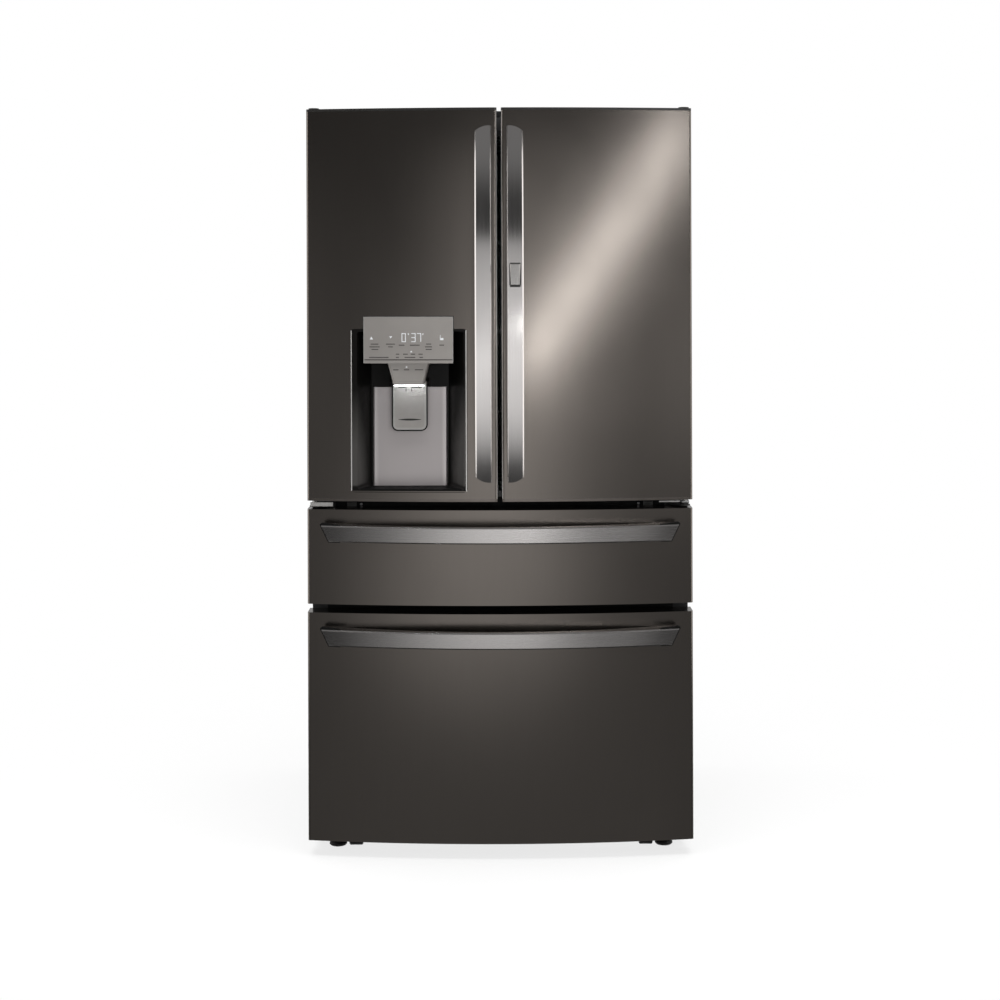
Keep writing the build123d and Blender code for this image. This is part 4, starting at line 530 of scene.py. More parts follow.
# The four strips stand left and right of the button, over it and under it.
strip_low = np.array([button_low.z, button_low.z, button_high.z, button_low.z - FRAME_UNDER])[:, None]
strip_high = np.array([button_high.z, button_high.z, button_high.z + FRAME_OVER, button_low.z])[:, None]
strip_left = np.array([button_low.x - FRAME_SIDE, button_high.x, button_low.x, button_low.x])[:, None]
strip_right = np.array([button_low.x, button_high.x + FRAME_SIDE, button_high.x, button_high.x])[:, None]
strip_z = strip_low + (strip_high - strip_low) * np.linspace(0, 1, FRAME_STEPS)
bar_face = cad_low.y + handle_arch - np.sqrt(handle_arch**2 - (strip_z - handle_middle) ** 2)
strip_front = np.maximum(bar_face - FRAME_PROUD, cad_low.y)
frame_rings = along_z(strip_z, strip_left, strip_right, strip_front, bar_face + FRAME_DEPTH)
fit("button_frame", frame_rings, "outer_door", dark_plastic)


# Dispenser housing: a smooth dark tub, moulded in one piece and clipped into the door. Its walls carry
# painted light and shade, lighter towards the mouth and the foot and darker deep inside and under the top,
# while its floor stays dark. A bright strip lines its mouth left and right, and a strip like the door closes
# it below.
WALLS_DEEP = -0.3
WALLS_FRONT = -0.385
WALLS_TOP = 1.2
WALLS_FOOT = 0.9
FLOOR_EDGE = 0.868
OFF_FLOOR = 0.878
housing_plastic = coat(
    "housing_plastic", gloss=(50, 0.32, 0.42), texture=(600, 0.0001, 0.3), colour=(0.014, 0.013, 0.012),
    specular=0.12,
)
tree, shader = opened(housing_plastic)
lighter_to_mouth = step_along(tree, "Y", WALLS_DEEP, WALLS_FRONT)
lighter_to_foot = step_along(tree, "Z", WALLS_TOP, WALLS_FOOT)
off_floor = step_along(tree, "Z", FLOOR_EDGE, OFF_FLOOR)
# painted light and shade on the walls: lighter towards the mouth and lower down, darker deep inside and under
# the top
painted_wall_light = joined(tree, "MULTIPLY", joined(tree, "MULTIPLY", lighter_to_mouth, lighter_to_foot), off_floor)
tint(tree, shader, painted_wall_light, (0.007, 0.0065, 0.006), (0.085, 0.081, 0.077))
dress(housing_plastic, "dispenser_housing")


def bowed(proud):
    """A face that follows the bowed front, so far proud of it: a function from X to Y."""
    return lambda x: front_y(x, proud)


def strips(boxes, front, back, steps=9):
    """Rings of upright boxes, each given by its low and its high corner in X and Z. Their front and back
    are functions of X, so that a wide strip follows the bow."""
    low, high = np.asarray(boxes, float).transpose(1, 0, 2)[:, :, None]
    x = low[..., 0] + (high - low)[..., 0] * np.linspace(0, 1, steps)
    return along_x(x, low[..., 1], high[..., 1], front(x), back(x))


RIM = 0.0035
TRIM = 0.002
TRIM_PROUD = 0.0019
TRIM_BED = 0.001
SILL_RISE = 0.0012
housing_low, housing_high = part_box("dispenser_housing")
MOUTH_X = (housing_low.x + housing_high.x) / 2
MOUTH_HALF = (housing_high.x - housing_low.x) / 2 - RIM
MOUTH_LOW = housing_low.z + RIM
MOUTH_HIGH = housing_high.z - RIM
trim_left = MOUTH_X - MOUTH_HALF - TRIM
trim_right = MOUTH_X + MOUTH_HALF + TRIM
trim_boxes = [
    ((trim_left, MOUTH_LOW), (trim_left + TRIM, MOUTH_HIGH)),
    ((trim_right - TRIM, MOUTH_LOW), (trim_right, MOUTH_HIGH)),
]
sill_box = ((trim_left, housing_low.z + SILL_RISE), (trim_right, MOUTH_LOW))
trim_steel = coat(
    "trim_steel", gloss=((300, 300, 30), 0.35, 0.5), texture=((1200, 1200, 60), 0.00003, 0.3),
    colour=(0.85, 0.83, 0.8), metallic=0.5,
)
trim_rings = strips(trim_boxes, bowed(TRIM_PROUD), bowed(TRIM_BED))
fit("mouth_trim", trim_rings, "left_door", trim_steel)
sill_rings = strips([sill_box], bowed(TRIM_PROUD), bowed(TRIM_BED))
fit("mouth_sill", sill_rings, "left_door", black_stainless)


# Drip grille on the floor of the dispenser: flat dark bars, moulded as one loose tray that lifts out.
# Each bar follows the bow of the door and ends short of the splayed side walls.
GRILLE_BARS = 14
GRILLE_PITCH = 0.005
GRILLE_START = 0.0015
GRILLE_RISE = 0.0025
GRILLE_STEPS = 13
BAR_WIDTH = 0.0038
BAR_HEIGHT = 0.002
BAR_INSET = 0.005
WALL_BACK = -0.309
WALL_HALF = 0.092
WALL_SPLAY = 0.43
SETTLE_ROUNDS = 6
bar_depth = (GRILLE_START + GRILLE_PITCH * np.arange(GRILLE_BARS))[:, None]
bar_side = np.array([-1.0, 1.0])
bar_ends = MOUTH_X + WALL_HALF * bar_side * np.ones_like(bar_depth)
# The wall's X depends on the bar's depth, and that on the bow at this X, so the ends settle in rounds.
for settle in range(SETTLE_ROUNDS):
    wall_depth = WALL_BACK - front_y(bar_ends) - bar_depth
    bar_ends = MOUTH_X + bar_side * (WALL_HALF + WALL_SPLAY * wall_depth - BAR_INSET)
bar_x = bar_ends[:, :1] + (bar_ends[:, 1:] - bar_ends[:, :1]) * np.linspace(0, 1, GRILLE_STEPS)
bar_front = front_y(bar_x) + bar_depth
grille_low = MOUTH_LOW + GRILLE_RISE
grille_rings = along_x(bar_x, grille_low, grille_low + BAR_HEIGHT, bar_front, bar_front + BAR_WIDTH)
fit("drip_grille", grille_rings, "left_door", black_plastic_and_shade)


# Back plate of the dispenser: satin metal paint with a fine upright brush, on a plate that is clipped into
# the back of the tub. Its side edges are rolled and carry a painted highlight, paler than its middle.
PLATE_HIGHLIGHT_WIDTH = 0.02
PLATE_BRUSH = (1400, 9, 12)
plate_low, plate_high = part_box("dispenser_back_plate")
plate_steel, tree, shader = new_finish("plate_steel", (0.42, 0.405, 0.4), 0.4, 0.6)
left_edge_highlight = step_along(tree, "X", plate_low.x + PLATE_HIGHLIGHT_WIDTH, plate_low.x)
right_edge_highlight = step_along(tree, "X", plate_high.x - PLATE_HIGHLIGHT_WIDTH, plate_high.x)
edge_highlights = joined(tree, "ADD", left_edge_highlight, right_edge_highlight)
# painted highlight: paler colour along the plate's side edges
tint(tree, shader, edge_highlights, (0.48, 0.446, 0.444), (0.63, 0.59, 0.585))
brush = grain(tree, PLATE_BRUSH, BRUSH_DETAIL)
vary(tree, brush, shader.inputs["Roughness"], 0.34, 0.46)
relief(tree, shader, brush, 0.00004, 0.3)
dress(plate_steel, "dispenser_back_plate")


# Lever of the dispenser: a thick moulded pad that swings on a pin, with a raised rim, a black band round its
# sides and foot as painted shadow of the gap round it, a grip slot darkened inside as painted shade, and
# under its top two dark corner marks that are painted shadows of the nozzles.
lever_plastic = coat(
    "lever_plastic", gloss=(200, 0.32, 0.45), texture=(1200, 0.0001, 0.3),
    tones=(30, (0.37, 0.348, 0.328), (0.41, 0.386, 0.364)), metallic=0.3,
)
dress(lever_plastic, "dispenser_lever")


def band(path, inner, outer, front, back):
    """Rings of a band along a path in X and Z: at each point a rectangle that reaches from the inner to
    the outer distance on the path's right side, and from a front to a back Y."""
    ahead = np.gradient(path, axis=0)
    ahead = ahead / np.linalg.norm(ahead, axis=1)[:, None]
    right = np.stack([ahead[:, 1], -ahead[:, 0]], -1)
    near = path + inner * right
    far = path + outer * right
    corners = [(near, front), (far, front), (far, back), (near, back)]
    ring = [np.stack([p[:, 0], np.full(len(p), y), p[:, 1]], -1) for p, y in corners]
    return np.stack(ring, 1)[None]


LEVER_HALF = 0.0395
LEVER_ROUND = 0.012
LEVER_FRONT = -0.3355
LEVER_TOP = 0.008
SIDE_STEPS = 6
CORNER_STEPS = 9
lever_low, lever_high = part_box("dispenser_lever")
lever_head = lever_high.z - LEVER_TOP
turn = np.linspace(0, np.pi / 2, CORNER_STEPS)
corner_x = LEVER_HALF - LEVER_ROUND
corner_z = lever_low.z + LEVER_ROUND
side_z = np.linspace(lever_head, corner_z, SIDE_STEPS)[:-1]
wide = LEVER_ROUND * np.cos(turn)
deep = LEVER_ROUND * np.sin(turn)
lever_path = MOUTH_X * np.array([1, 0]) + np.concatenate([
    np.stack([np.full_like(side_z, -LEVER_HALF), side_z], -1),
    np.stack([-corner_x - wide, corner_z - deep], -1),
    np.stack([corner_x + deep, corner_z - wide], -1),
    np.stack([np.full_like(side_z, LEVER_HALF), side_z[::-1]], -1),
])
RIM_WIDTH = 0.005
RIM_GAP = 0.0002
RIM_PROUD = 0.0008
RIM_BED = 0.001
SHADOW_EDGE_WIDTH = 0.003
SHADOW_EDGE_DEPTH = 0.005
rim_rings = band(lever_path, -RIM_WIDTH, -RIM_GAP, LEVER_FRONT - RIM_PROUD, LEVER_FRONT + RIM_BED)
rim_plastic_and_highlight = coat(
    "rim_plastic_and_highlight", gloss=(300, 0.3, 0.42), tones=(60, (0.42, 0.41, 0.39), (0.46, 0.45, 0.43)), metallic=0.3
)
fit("lever_rim", rim_rings, "dispenser_lever", rim_plastic_and_highlight)
# painted shadow: a black band just outside the lever's rim, for the shaded gap round the lever
shadow_edge_rings = band(lever_path, 0.0, SHADOW_EDGE_WIDTH, LEVER_FRONT, LEVER_FRONT + SHADOW_EDGE_DEPTH)
fit("lever_shadow_edge", shadow_edge_rings, "dispenser_lever", black_plastic_and_shade)

GRIP_RISE = 0.024
GRIP_HALF = 0.0275
GRIP_SWELL = 0.0021
GRIP_TIP = 0.0002
GRIP_FRONT = LEVER_FRONT + 0.001
GRIP_BACK = LEVER_FRONT + 0.003
GRIP_STEPS = 17
grip_x = np.linspace(-GRIP_HALF, GRIP_HALF, GRIP_STEPS)[None]
grip_bulge = GRIP_SWELL * (1 - (grip_x / GRIP_HALF) ** 2) + GRIP_TIP
grip_z = lever_low.z + GRIP_RISE
# painted shade: a dark lens at the back of the lever's grip slot
grip_shade_rings = along_x(MOUTH_X + grip_x, grip_z - grip_bulge, grip_z + grip_bulge, GRIP_FRONT, GRIP_BACK)
fit("lever_grip_shade", grip_shade_rings, "dispenser_lever", dark_plastic)


def flat(y):
    """A face that stands at one Y: a function from X to Y."""
    return lambda x: np.full_like(x, y)


MARK = 0.0018
MARK_DEPTH = 0.0002
NOZZLE_SHADOW_DROP = 0.0085
LEFT_NOZZLE_SHADOW = (-0.0085, -0.026)
RIGHT_NOZZLE_SHADOW = (0.0045, 0.028)
mark_low = lever_head - NOZZLE_SHADOW_DROP
# painted shadows: two dark L-shaped marks under the lever's top, for the shadows of the nozzles above it
nozzle_shadow_boxes = []
for near_x, far_x in (LEFT_NOZZLE_SHADOW, RIGHT_NOZZLE_SHADOW):
    left = MOUTH_X + min(near_x, far_x)
    right = MOUTH_X + max(near_x, far_x)
    post = MOUTH_X + near_x - MARK / 2
    nozzle_shadow_boxes.append(((left, mark_low), (right, mark_low + MARK)))
    nozzle_shadow_boxes.append(((post, mark_low - NOZZLE_SHADOW_DROP), (post + MARK, mark_low)))
nozzle_shadow_rings = strips(nozzle_shadow_boxes, flat(LEVER_FRONT - MARK_DEPTH), flat(LEVER_FRONT + MARK_DEPTH))
fit("lever_nozzle_shadows", nozzle_shadow_rings, "dispenser_lever", black_plastic_and_shade)


# Control panel and chute: moulded in one colour, metal-painted and clipped into the housing. A dark strip
# runs round the panel's top and sides, a groove with painted shade in it crosses its foot, and a paler strip
# along the edges of its face is a painted highlight.
panel_plastic = coat(
    "panel_plastic", gloss=(120, 0.31, 0.42), texture=(1500, 0.00008, 0.3),
    tones=(14, (0.372, 0.349, 0.328), (0.402, 0.377, 0.355)), metallic=0.35,
)
dress(panel_plastic, "dispenser_panel", "dispenser_chute")

OUTLINE = 0.0018
OUTLINE_PROUD = 0.0006
OUTLINE_BED = -0.0004
panel_low, panel_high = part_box("dispenser_panel")
outline_left = panel_low.x - OUTLINE
outline_right = panel_high.x + OUTLINE
outline_boxes = [
    ((outline_left, panel_high.z), (outline_right, panel_high.z + OUTLINE)),
    ((outline_left, housing_high.z), (panel_low.x, panel_high.z)),
    ((panel_high.x, housing_high.z), (outline_right, panel_high.z)),
]
# a dark strip on the door round the panel's top and sides
outline_rings = strips(outline_boxes, bowed(OUTLINE_PROUD), bowed(OUTLINE_BED))
fit("panel_outline", outline_rings, "left_door", dark_plastic)

GROOVE_INSET = 0.0004
GROOVE_LOW = panel_low.z + 0.0072
GROOVE_HIGH = panel_low.z + 0.009
GROOVE_PROUD = 0.0104
GROOVE_BED = 0.0092
groove_shade_box = ((panel_low.x + GROOVE_INSET, GROOVE_LOW), (panel_high.x - GROOVE_INSET, GROOVE_HIGH))
# painted shade: a dark strip inside the groove across the panel's foot
groove_shade_rings = strips([groove_shade_box], bowed(GROOVE_PROUD), bowed(GROOVE_BED))
fit("panel_groove_shade", groove_shade_rings, "left_door", dark_plastic)

PANEL_PROUD = 0.012
INK = 0.00025
HIGHLIGHT_BORDER = 0.0016
on_panel = bowed(PANEL_PROUD + INK)
in_panel = bowed(PANEL_PROUD - INK)
inner_left = panel_low.x + HIGHLIGHT_BORDER
inner_right = panel_high.x - HIGHLIGHT_BORDER
# painted highlight: a paler strip along the panel's sides and top, in the lever rim's plastic
edge_highlight_boxes = [
    ((panel_low.x, panel_low.z), (inner_left, panel_high.z)),
    ((inner_right, panel_low.z), (panel_high.x, panel_high.z)),
    ((inner_left, panel_high.z - HIGHLIGHT_BORDER), (inner_right, panel_high.z)),
]
fit("panel_edge_highlight", strips(edge_highlight_boxes, on_panel, in_panel), "left_door", rim_plastic_and_highlight)


# Lit marks of the panel: small lamps behind the thin face shine through it as three digits, a lock and
# five triangles, through clear windows in the paint.
DIGIT_HEIGHT = 0.019
DIGIT_WIDTH = 0.010
STROKE = 0.0019
DIGITS_Z = panel_low.z + 0.06


def segments(x, *names):
    """Boxes of the named strokes of a digit about X: bars at its top, middle and bottom, and an upper and
    a lower post at its left and its right edge."""
    left = x - DIGIT_WIDTH / 2
    right = x + DIGIT_WIDTH / 2
    half = DIGIT_HEIGHT / 2
    boxes = {}
    for name, level in (("top", half), ("middle", 0.0), ("bottom", -half)):
        low = DIGITS_Z + level - STROKE / 2
        boxes[name] = ((left, low), (right, low + STROKE))
    for side, edge in (("left", left), ("right", right - STROKE)):
        boxes["upper " + side] = ((edge, DIGITS_Z), (edge + STROKE, DIGITS_Z + half))
        boxes["lower " + side] = ((edge, DIGITS_Z - half), (edge + STROKE, DIGITS_Z))
    return [boxes[name] for name in names]


LOCK_HALF = 0.004
LOCK_FOOT = DIGITS_Z - 0.006
LOCK_TOP = DIGITS_Z - 0.001
SHACKLE_TOP = DIGITS_Z + 0.006
SHACKLE_WIDTH = 0.0012
lock_left = MOUTH_X + 0.0785 - LOCK_HALF
lock = [
    ((lock_left, LOCK_FOOT), (lock_left + 2 * LOCK_HALF, LOCK_TOP)),
    ((lock_left, LOCK_TOP), (lock_left + SHACKLE_WIDTH, SHACKLE_TOP)),
]
zero = segments(MOUTH_X - 0.0105, "top", "upper left", "upper right", "lower left", "lower right", "bottom")
three = segments(MOUTH_X + 0.0125, "top", "upper right", "middle", "lower right", "bottom")
seven = segments(MOUTH_X + 0.0255, "top", "upper right", "lower right")


def triangles(places):
    """Rings of flat triangles on the panel: from the base, the height falls off evenly to both sides of
    the middle. A place gives the middle X, base Z, half width and height, which is negative downwards."""
    middle, base, half, height = np.asarray(places, float).T[..., None]
    x = middle + half * np.linspace(-1, 1, 9)
    tip = base + height * (1 - np.abs(x - middle) / half)
    low = np.minimum(base, tip) - INK
    high = np.maximum(base, tip) + INK
    return along_x(x, low, high, on_panel(x), in_panel(x))


rising_mark = (MOUTH_X - 0.0865, DIGITS_Z - 0.004, 0.0036, 0.0066)
falling_mark = (MOUTH_X - 0.041, DIGITS_Z + 0.003, 0.0032, -0.005)
degree_marks = [(MOUTH_X + x, DIGITS_Z + 0.0095, 0.0018, -0.004) for x in (0.0005, 0.0345)]
choice_mark = (MOUTH_X + 0.007, panel_low.z + 0.026, 0.0022, 0.0036)
lit_strokes = strips(zero + three + seven + lock, on_panel, in_panel)
lit_triangles = triangles([rising_mark, falling_mark, *degree_marks, choice_mark])


def shining(name, colour, roughness, glow, cycles, dim, bright):
    """A finish that gives light, with a strength that noise lets vary between two numbers."""
    material, tree, shader = new_finish(name, colour, roughness)
    shader.inputs["Emission Color"].default_value = (*glow, 1.0)
    vary(tree, grain(tree, cycles), shader.inputs["Emission Strength"], dim, bright)
    return material


display_light = shining("display_light", (0.6, 0.61, 0.63), 0.4, (0.95, 0.96, 0.98), 500, 0.22, 0.34)
lit_rings = np.concatenate([lit_strokes, lit_triangles])
fit("display_marks", lit_rings, "left_door", display_light)


# Printed dashes on the panel: dark ink, pad-printed on the paint. Plain dashes stand in the places of the
# words, in short columns under the lit marks and in two lines below them.
def dashes(z, height, *marks):
    """Boxes of dashes on one line. A mark gives its middle, right of the mouth's middle, and its width."""
    low = z - height / 2
    edges = [(MOUTH_X + x - width / 2, width) for x, width in marks]
    return [((left, low), (left + width, low + height)) for left, width in edges]


LABEL = 0.0019
FIRST_LINE = panel_low.z + 0.045
SINGLE_LINE = panel_low.z + 0.0425
SECOND_LINE = panel_low.z + 0.0385
THIRD_LINE = panel_low.z + 0.0325
CHOICE_LINE = panel_low.z + 0.0215
FOOT_LINE = panel_low.z + 0.014
label_boxes = (
    dashes(FIRST_LINE, LABEL, (-0.079, 0.018), (-0.0415, 0.021), (0.048, 0.012))
    + dashes(SINGLE_LINE, LABEL, (-0.0155, 0.013), (0.0155, 0.023), (0.0785, 0.011))
    + dashes(SECOND_LINE, LABEL, (-0.079, 0.024), (-0.0415, 0.011), (0.0475, 0.016))
    + dashes(THIRD_LINE, LABEL, (-0.078, 0.016), (0.048, 0.014))
    + dashes(CHOICE_LINE, LABEL, (-0.025, 0.008), (-0.0065, 0.011), (0.011, 0.01), (0.029, 0.01))
    + dashes(FOOT_LINE, LABEL, (-0.069, 0.046), (-0.0255, 0.007), (0.004, 0.025), (0.0305, 0.008))
)
label_ink = coat(
    "label_ink", gloss=(900, 0.45, 0.6), tones=(700, (0.03, 0.028, 0.026), (0.11, 0.105, 0.1))
)
fit("panel_labels", strips(label_boxes, on_panel, in_panel), "left_door", label_ink)


# Marks and lamp of the chute: three printed dashes and a small lit signal on its sloping front, and under
# it a short clear rod, clipped in behind the front edge, that lights the recess from above.
CHUTE_SLOPE = 0.006 / 0.052
chute_low, chute_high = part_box("dispenser_chute")


def chute_y(z):
    """Y of the chute's front at Z: it runs back evenly from its top edge downwards."""
    return chute_low.y + CHUTE_SLOPE * (chute_high.z - z)


DASH_Z = chute_high.z - 0.0155
DASH = 0.002
dash_boxes = dashes(DASH_Z, DASH, (-0.0295, 0.0125), (-0.0045, 0.0125), (0.0245, 0.019))
dash_rings = strips(dash_boxes, flat(chute_y(DASH_Z) - INK), flat(chute_y(DASH_Z) + INK))
fit("chute_marks", dash_rings, "left_door", label_ink)

SIGNAL_X = MOUTH_X - 0.0045
SIGNAL_Z = DASH_Z + 0.0065
SIGNAL_RADIUS = 0.0022
SIGNAL_HEIGHT = 0.0006
signal_rings = studs([(SIGNAL_X, chute_y(SIGNAL_Z), SIGNAL_Z)], SIGNAL_RADIUS, SIGNAL_HEIGHT, FORWARD)
fit("chute_signal", signal_rings, "left_door", display_light)

LAMP_HEIGHT = 0.0022
LAMP_SIZE = (0.004, LAMP_HEIGHT, 0.001)
LAMP_SETBACK = 0.03
LAMP_HALF = 0.034
lamp_place = (chute_low.y + LAMP_SETBACK, chute_low.z - LAMP_HEIGHT / 2)
lamp_rings = rails(LAMP_SIZE, [lamp_place], [(MOUTH_X - LAMP_HALF, MOUTH_X + LAMP_HALF)])
lamp_light = shining("lamp_light", (0.95, 0.97, 1.0), 0.3, (0.9, 0.96, 1.0), 300, 32.0, 38.0)
fit("spout_lamp", lamp_rings, "left_door", lamp_light)


# Liners, inner frame, ice room and air duct: sheet plastic drawn over a mould in one piece, glossy white,
# with the slight waviness of a drawn sheet. The flanges on the case front are dark like the case front and
# darker still, and the inner frame's outer edges are near black: painted shade of the gaps round the doors.
def drawn_sheet(name):
    """White sheet plastic with faint clouds in its tone and gloss."""
    return coat(
        name, gloss=(25, 0.2, 0.32), texture=(18, 0.0005, 0.12),
        tones=(3, (0.75, 0.76, 0.765), (0.8, 0.81, 0.81)),
    )


dress(
    drawn_sheet("liner_plastic"), "left_door_liner", "right_door_liner", "middle_front_liner",
    "freezer_front_liner", "ice_room", "air_duct",
)

FRAME_TRIM = 0.0025
SHADE_EDGE = 0.0002
door_frame_low, door_frame_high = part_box("inner_door_frame")
trim_x = door_frame_high.x - FRAME_TRIM
trim_top = door_frame_high.z - FRAME_TRIM
trim_foot = door_frame_low.z + FRAME_TRIM
frame_plastic = drawn_sheet("frame_plastic")
tree, shader = opened(frame_plastic)
right_edge_shade = step_along(tree, "X", trim_x, trim_x + SHADE_EDGE)
upper_edge_shade = step_along(tree, "Z", trim_top, trim_top + SHADE_EDGE)
lower_edge_shade = step_along(tree, "Z", trim_foot, trim_foot - SHADE_EDGE)
frame_edge_shade = joined(tree, "MAXIMUM", joined(tree, "MAXIMUM", right_edge_shade, upper_edge_shade), lower_edge_shade)
# painted shade: the frame's right, top and foot edges turn near black, for the shaded gaps round the inner
# door
tint(tree, shader, frame_edge_shade, (0.78, 0.79, 0.79), (0.05, 0.047, 0.044))
dress(frame_plastic, "inner_door_frame")

FLANGE_BACK = CASE_FRONT + 0.003
FLANGE_SHADE_TONE = (0.008, 0.008, 0.008, 1.0)
MIX_FIRST = 6
MIX_SECOND = 7
MIX_COLOUR = 2
case_liner = drawn_sheet("case_liner")
tree, shader = opened(case_liner)
white_tone = shader.inputs["Base Color"].links[0].from_socket
blend = tree.nodes.new("ShaderNodeMix")
blend.data_type = "RGBA"
# painted shade: the flanges on the case front are dark like the case front, and darker still for the shaded
# gaps
blend.inputs[MIX_FIRST].default_value = FLANGE_SHADE_TONE
tree.links.new(step_along(tree, "Y", FLANGE_BACK - SHADE_EDGE, FLANGE_BACK), blend.inputs["Factor"])
tree.links.new(white_tone, blend.inputs[MIX_SECOND])
tree.links.new(blend.outputs[MIX_COLOUR], shader.inputs["Base Color"])
dress(case_liner, "fridge_liner", "middle_liner", "freezer_liner")


# Fridge lamp and the ice room's door: the lamp is a flat diffuser clipped into the ceiling, dark while
# the doors are shut. The ice room shows the seam of its own door as a grey line of soft lip.
DIFFUSER_SIZE = (0.05, 0.004, 0.0015)
DIFFUSER_Y = -0.14
DIFFUSER_HALF = 0.11
DIFFUSER_DROP = 0.0162
_, liner_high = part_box("fridge_liner")
diffuser_place = (DIFFUSER_Y, liner_high.z - DIFFUSER_DROP)
diffuser_rings = rails(DIFFUSER_SIZE, [diffuser_place], [(-DIFFUSER_HALF, DIFFUSER_HALF)])
diffuser = coat(
    "diffuser", gloss=((60, 400, 60), 0.2, 0.4), texture=((60, 700, 60), 0.0004, 0.4),
    colour=(0.9, 0.92, 0.95),
)
fit("fridge_lamp", diffuser_rings, "cabinet", diffuser)

ICE_INSET = 0.013
ICE_SEAM = 0.0018
ICE_SEAM_BED = 0.001
ICE_SEAM_PROUD = 0.0003
ice_low, ice_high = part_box("ice_room")
left = ice_low.x + ICE_INSET
right = ice_high.x - ICE_INSET
low = ice_low.z + ICE_INSET
high = ice_high.z - ICE_INSET
ice_boxes = [
    ((left, low), (right, low + ICE_SEAM)),
    ((left, high - ICE_SEAM), (right, high)),
    ((left, low), (left + ICE_SEAM, high)),
    ((right - ICE_SEAM, low), (right, high)),
]
ice_rings = strips(ice_boxes, flat(ice_high.y - ICE_SEAM_BED), flat(ice_high.y + ICE_SEAM_PROUD))
seam_rubber = coat(
    "seam_rubber", gloss=(300, 0.5, 0.7), tones=(90, (0.27, 0.28, 0.29), (0.34, 0.35, 0.36))
)
fit("ice_room_seam", ice_rings, "left_door", seam_rubber)


# Gaskets: soft PVC, extruded with a pocket for a magnet strip, cut to length and welded at the corners.
# Each is pushed into a groove of its liner.
gasket_rubber = coat(
    "gasket_rubber", gloss=(200, 0.52, 0.7), texture=(700, 0.0002, 0.3),
    tones=(30, (0.14, 0.14, 0.145), (0.18, 0.18, 0.185)),
)
dress(
    gasket_rubber, "left_door_gasket", "inner_door_gasket", "outer_door_gasket", "middle_gasket",
    "freezer_gasket",
)


# Shelves: toughened glass plates resting on ledges of the liner, with a pale moulded trim pushed over
# their front edge so that spills stay on the glass.
CLEAR_IOR = 1.5
shelf_glass = coat("shelf_glass", gloss=(12, 0.02, 0.08), texture=(6, 0.0003, 0.1), colour=(0.86, 0.95, 0.92))
tree, shader = opened(shelf_glass)
shader.inputs["Transmission Weight"].default_value = 0.92
shader.inputs["IOR"].default_value = CLEAR_IOR
dress(shelf_glass, "fridge_shelves")

SHELF_RISES = np.array([0.0, 0.2, 0.42])
SHELF_TRIM_SIZE = (0.01, 0.012, 0.003)
SHELF_TRIM_Y = 0.003
SHELF_TRIM_Z = 0.0035
SHELF_TRIM_END = 0.001
shelf_low, shelf_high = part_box("fridge_shelves")
shelf_z = shelf_low.z + SHELF_RISES + SHELF_TRIM_Z
shelf_places = np.stack([np.full_like(shelf_z, shelf_low.y + SHELF_TRIM_Y), shelf_z], -1)
shelf_ends = [(shelf_low.x + SHELF_TRIM_END, shelf_high.x - SHELF_TRIM_END)] * len(shelf_z)
shelf_rings = rails(SHELF_TRIM_SIZE, shelf_places, shelf_ends)
trim_plastic = coat(
    "trim_plastic", gloss=(150, 0.25, 0.4), texture=(900, 0.0001, 0.3),
    tones=(20, (0.52, 0.53, 0.54), (0.58, 0.59, 0.6)),
)
fit("shelf_trims", shelf_rings, "cabinet", trim_plastic)


# Crispers, door baskets, bins and tray: clear polystyrene, injection-moulded, with faint flow marks and
# fine scratches from use. Crispers and door baskets carry a pale rail along their front lip.
clear_plastic, tree, shader = new_finish("clear_plastic", (0.86, 0.89, 0.9), 0.12)
shader.inputs["Transmission Weight"].default_value = 0.75
shader.inputs["IOR"].default_value = CLEAR_IOR
vary(tree, grain(tree, 60, CLOUD_DETAIL), shader.inputs["Roughness"], 0.06, 0.22)
relief(tree, shader, grain(tree, 25), 0.0004, 0.15)
dress(
    clear_plastic, "crispers", "left_door_baskets", "inner_door_baskets", "middle_bin", "freezer_bin",
    "freezer_tray",
)

CORNER = 0.016
CRISPER_RAIL_SIZE = (0.008, 0.02, 0.003)
CRISPER_RAIL_Y = 0.002
CRISPER_RAIL_DROP = 0.011
CRISPER_INNER = 0.004
crisper_low, crisper_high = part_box("crispers")
crisper_places = [(crisper_low.y + CRISPER_RAIL_Y, crisper_high.z - CRISPER_RAIL_DROP)] * 2
crisper_ends = [
    (crisper_low.x + CORNER, -CRISPER_INNER - CORNER),
    (CRISPER_INNER + CORNER, crisper_high.x - CORNER),
]
crisper_rings = rails(CRISPER_RAIL_SIZE, crisper_places, crisper_ends)
fit("crisper_rails", crisper_rings, "cabinet", trim_plastic)

BASKET_RAIL_SIZE = (0.006, 0.018, 0.0025)
BASKET_RAIL_SUNK = 0.001
BASKET_LIP = 0.096
LEFT_PITCH = 0.21
INNER_PITCH = 0.26
for baskets, body, pitch, count in (
    ("left_door_baskets", "left_door", LEFT_PITCH, 2),
    ("inner_door_baskets", "inner_door", INNER_PITCH, 3),
):
    basket_low, basket_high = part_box(baskets)
    lip_z = basket_low.z + BASKET_LIP + pitch * np.arange(count)
    lip_places = np.stack([np.full(count, basket_high.y - BASKET_RAIL_SUNK), lip_z], -1)
    lip_ends = [(basket_low.x + CORNER, basket_high.x - CORNER)] * count
    basket_rings = rails(BASKET_RAIL_SIZE, lip_places, lip_ends)
    fit(baskets + "_rails", basket_rings, body, trim_plastic)


# Compressor: a can of two drawn steel halves, welded round the middle, dipped in black paint and bolted
# to the base frame.
compressor_paint = coat(
    "compressor_paint", gloss=(30, 0.28, 0.48), texture=(200, 0.0004, 0.3), colour=(0.015, 0.015, 0.016)
)
dress(compressor_paint, "compressor")


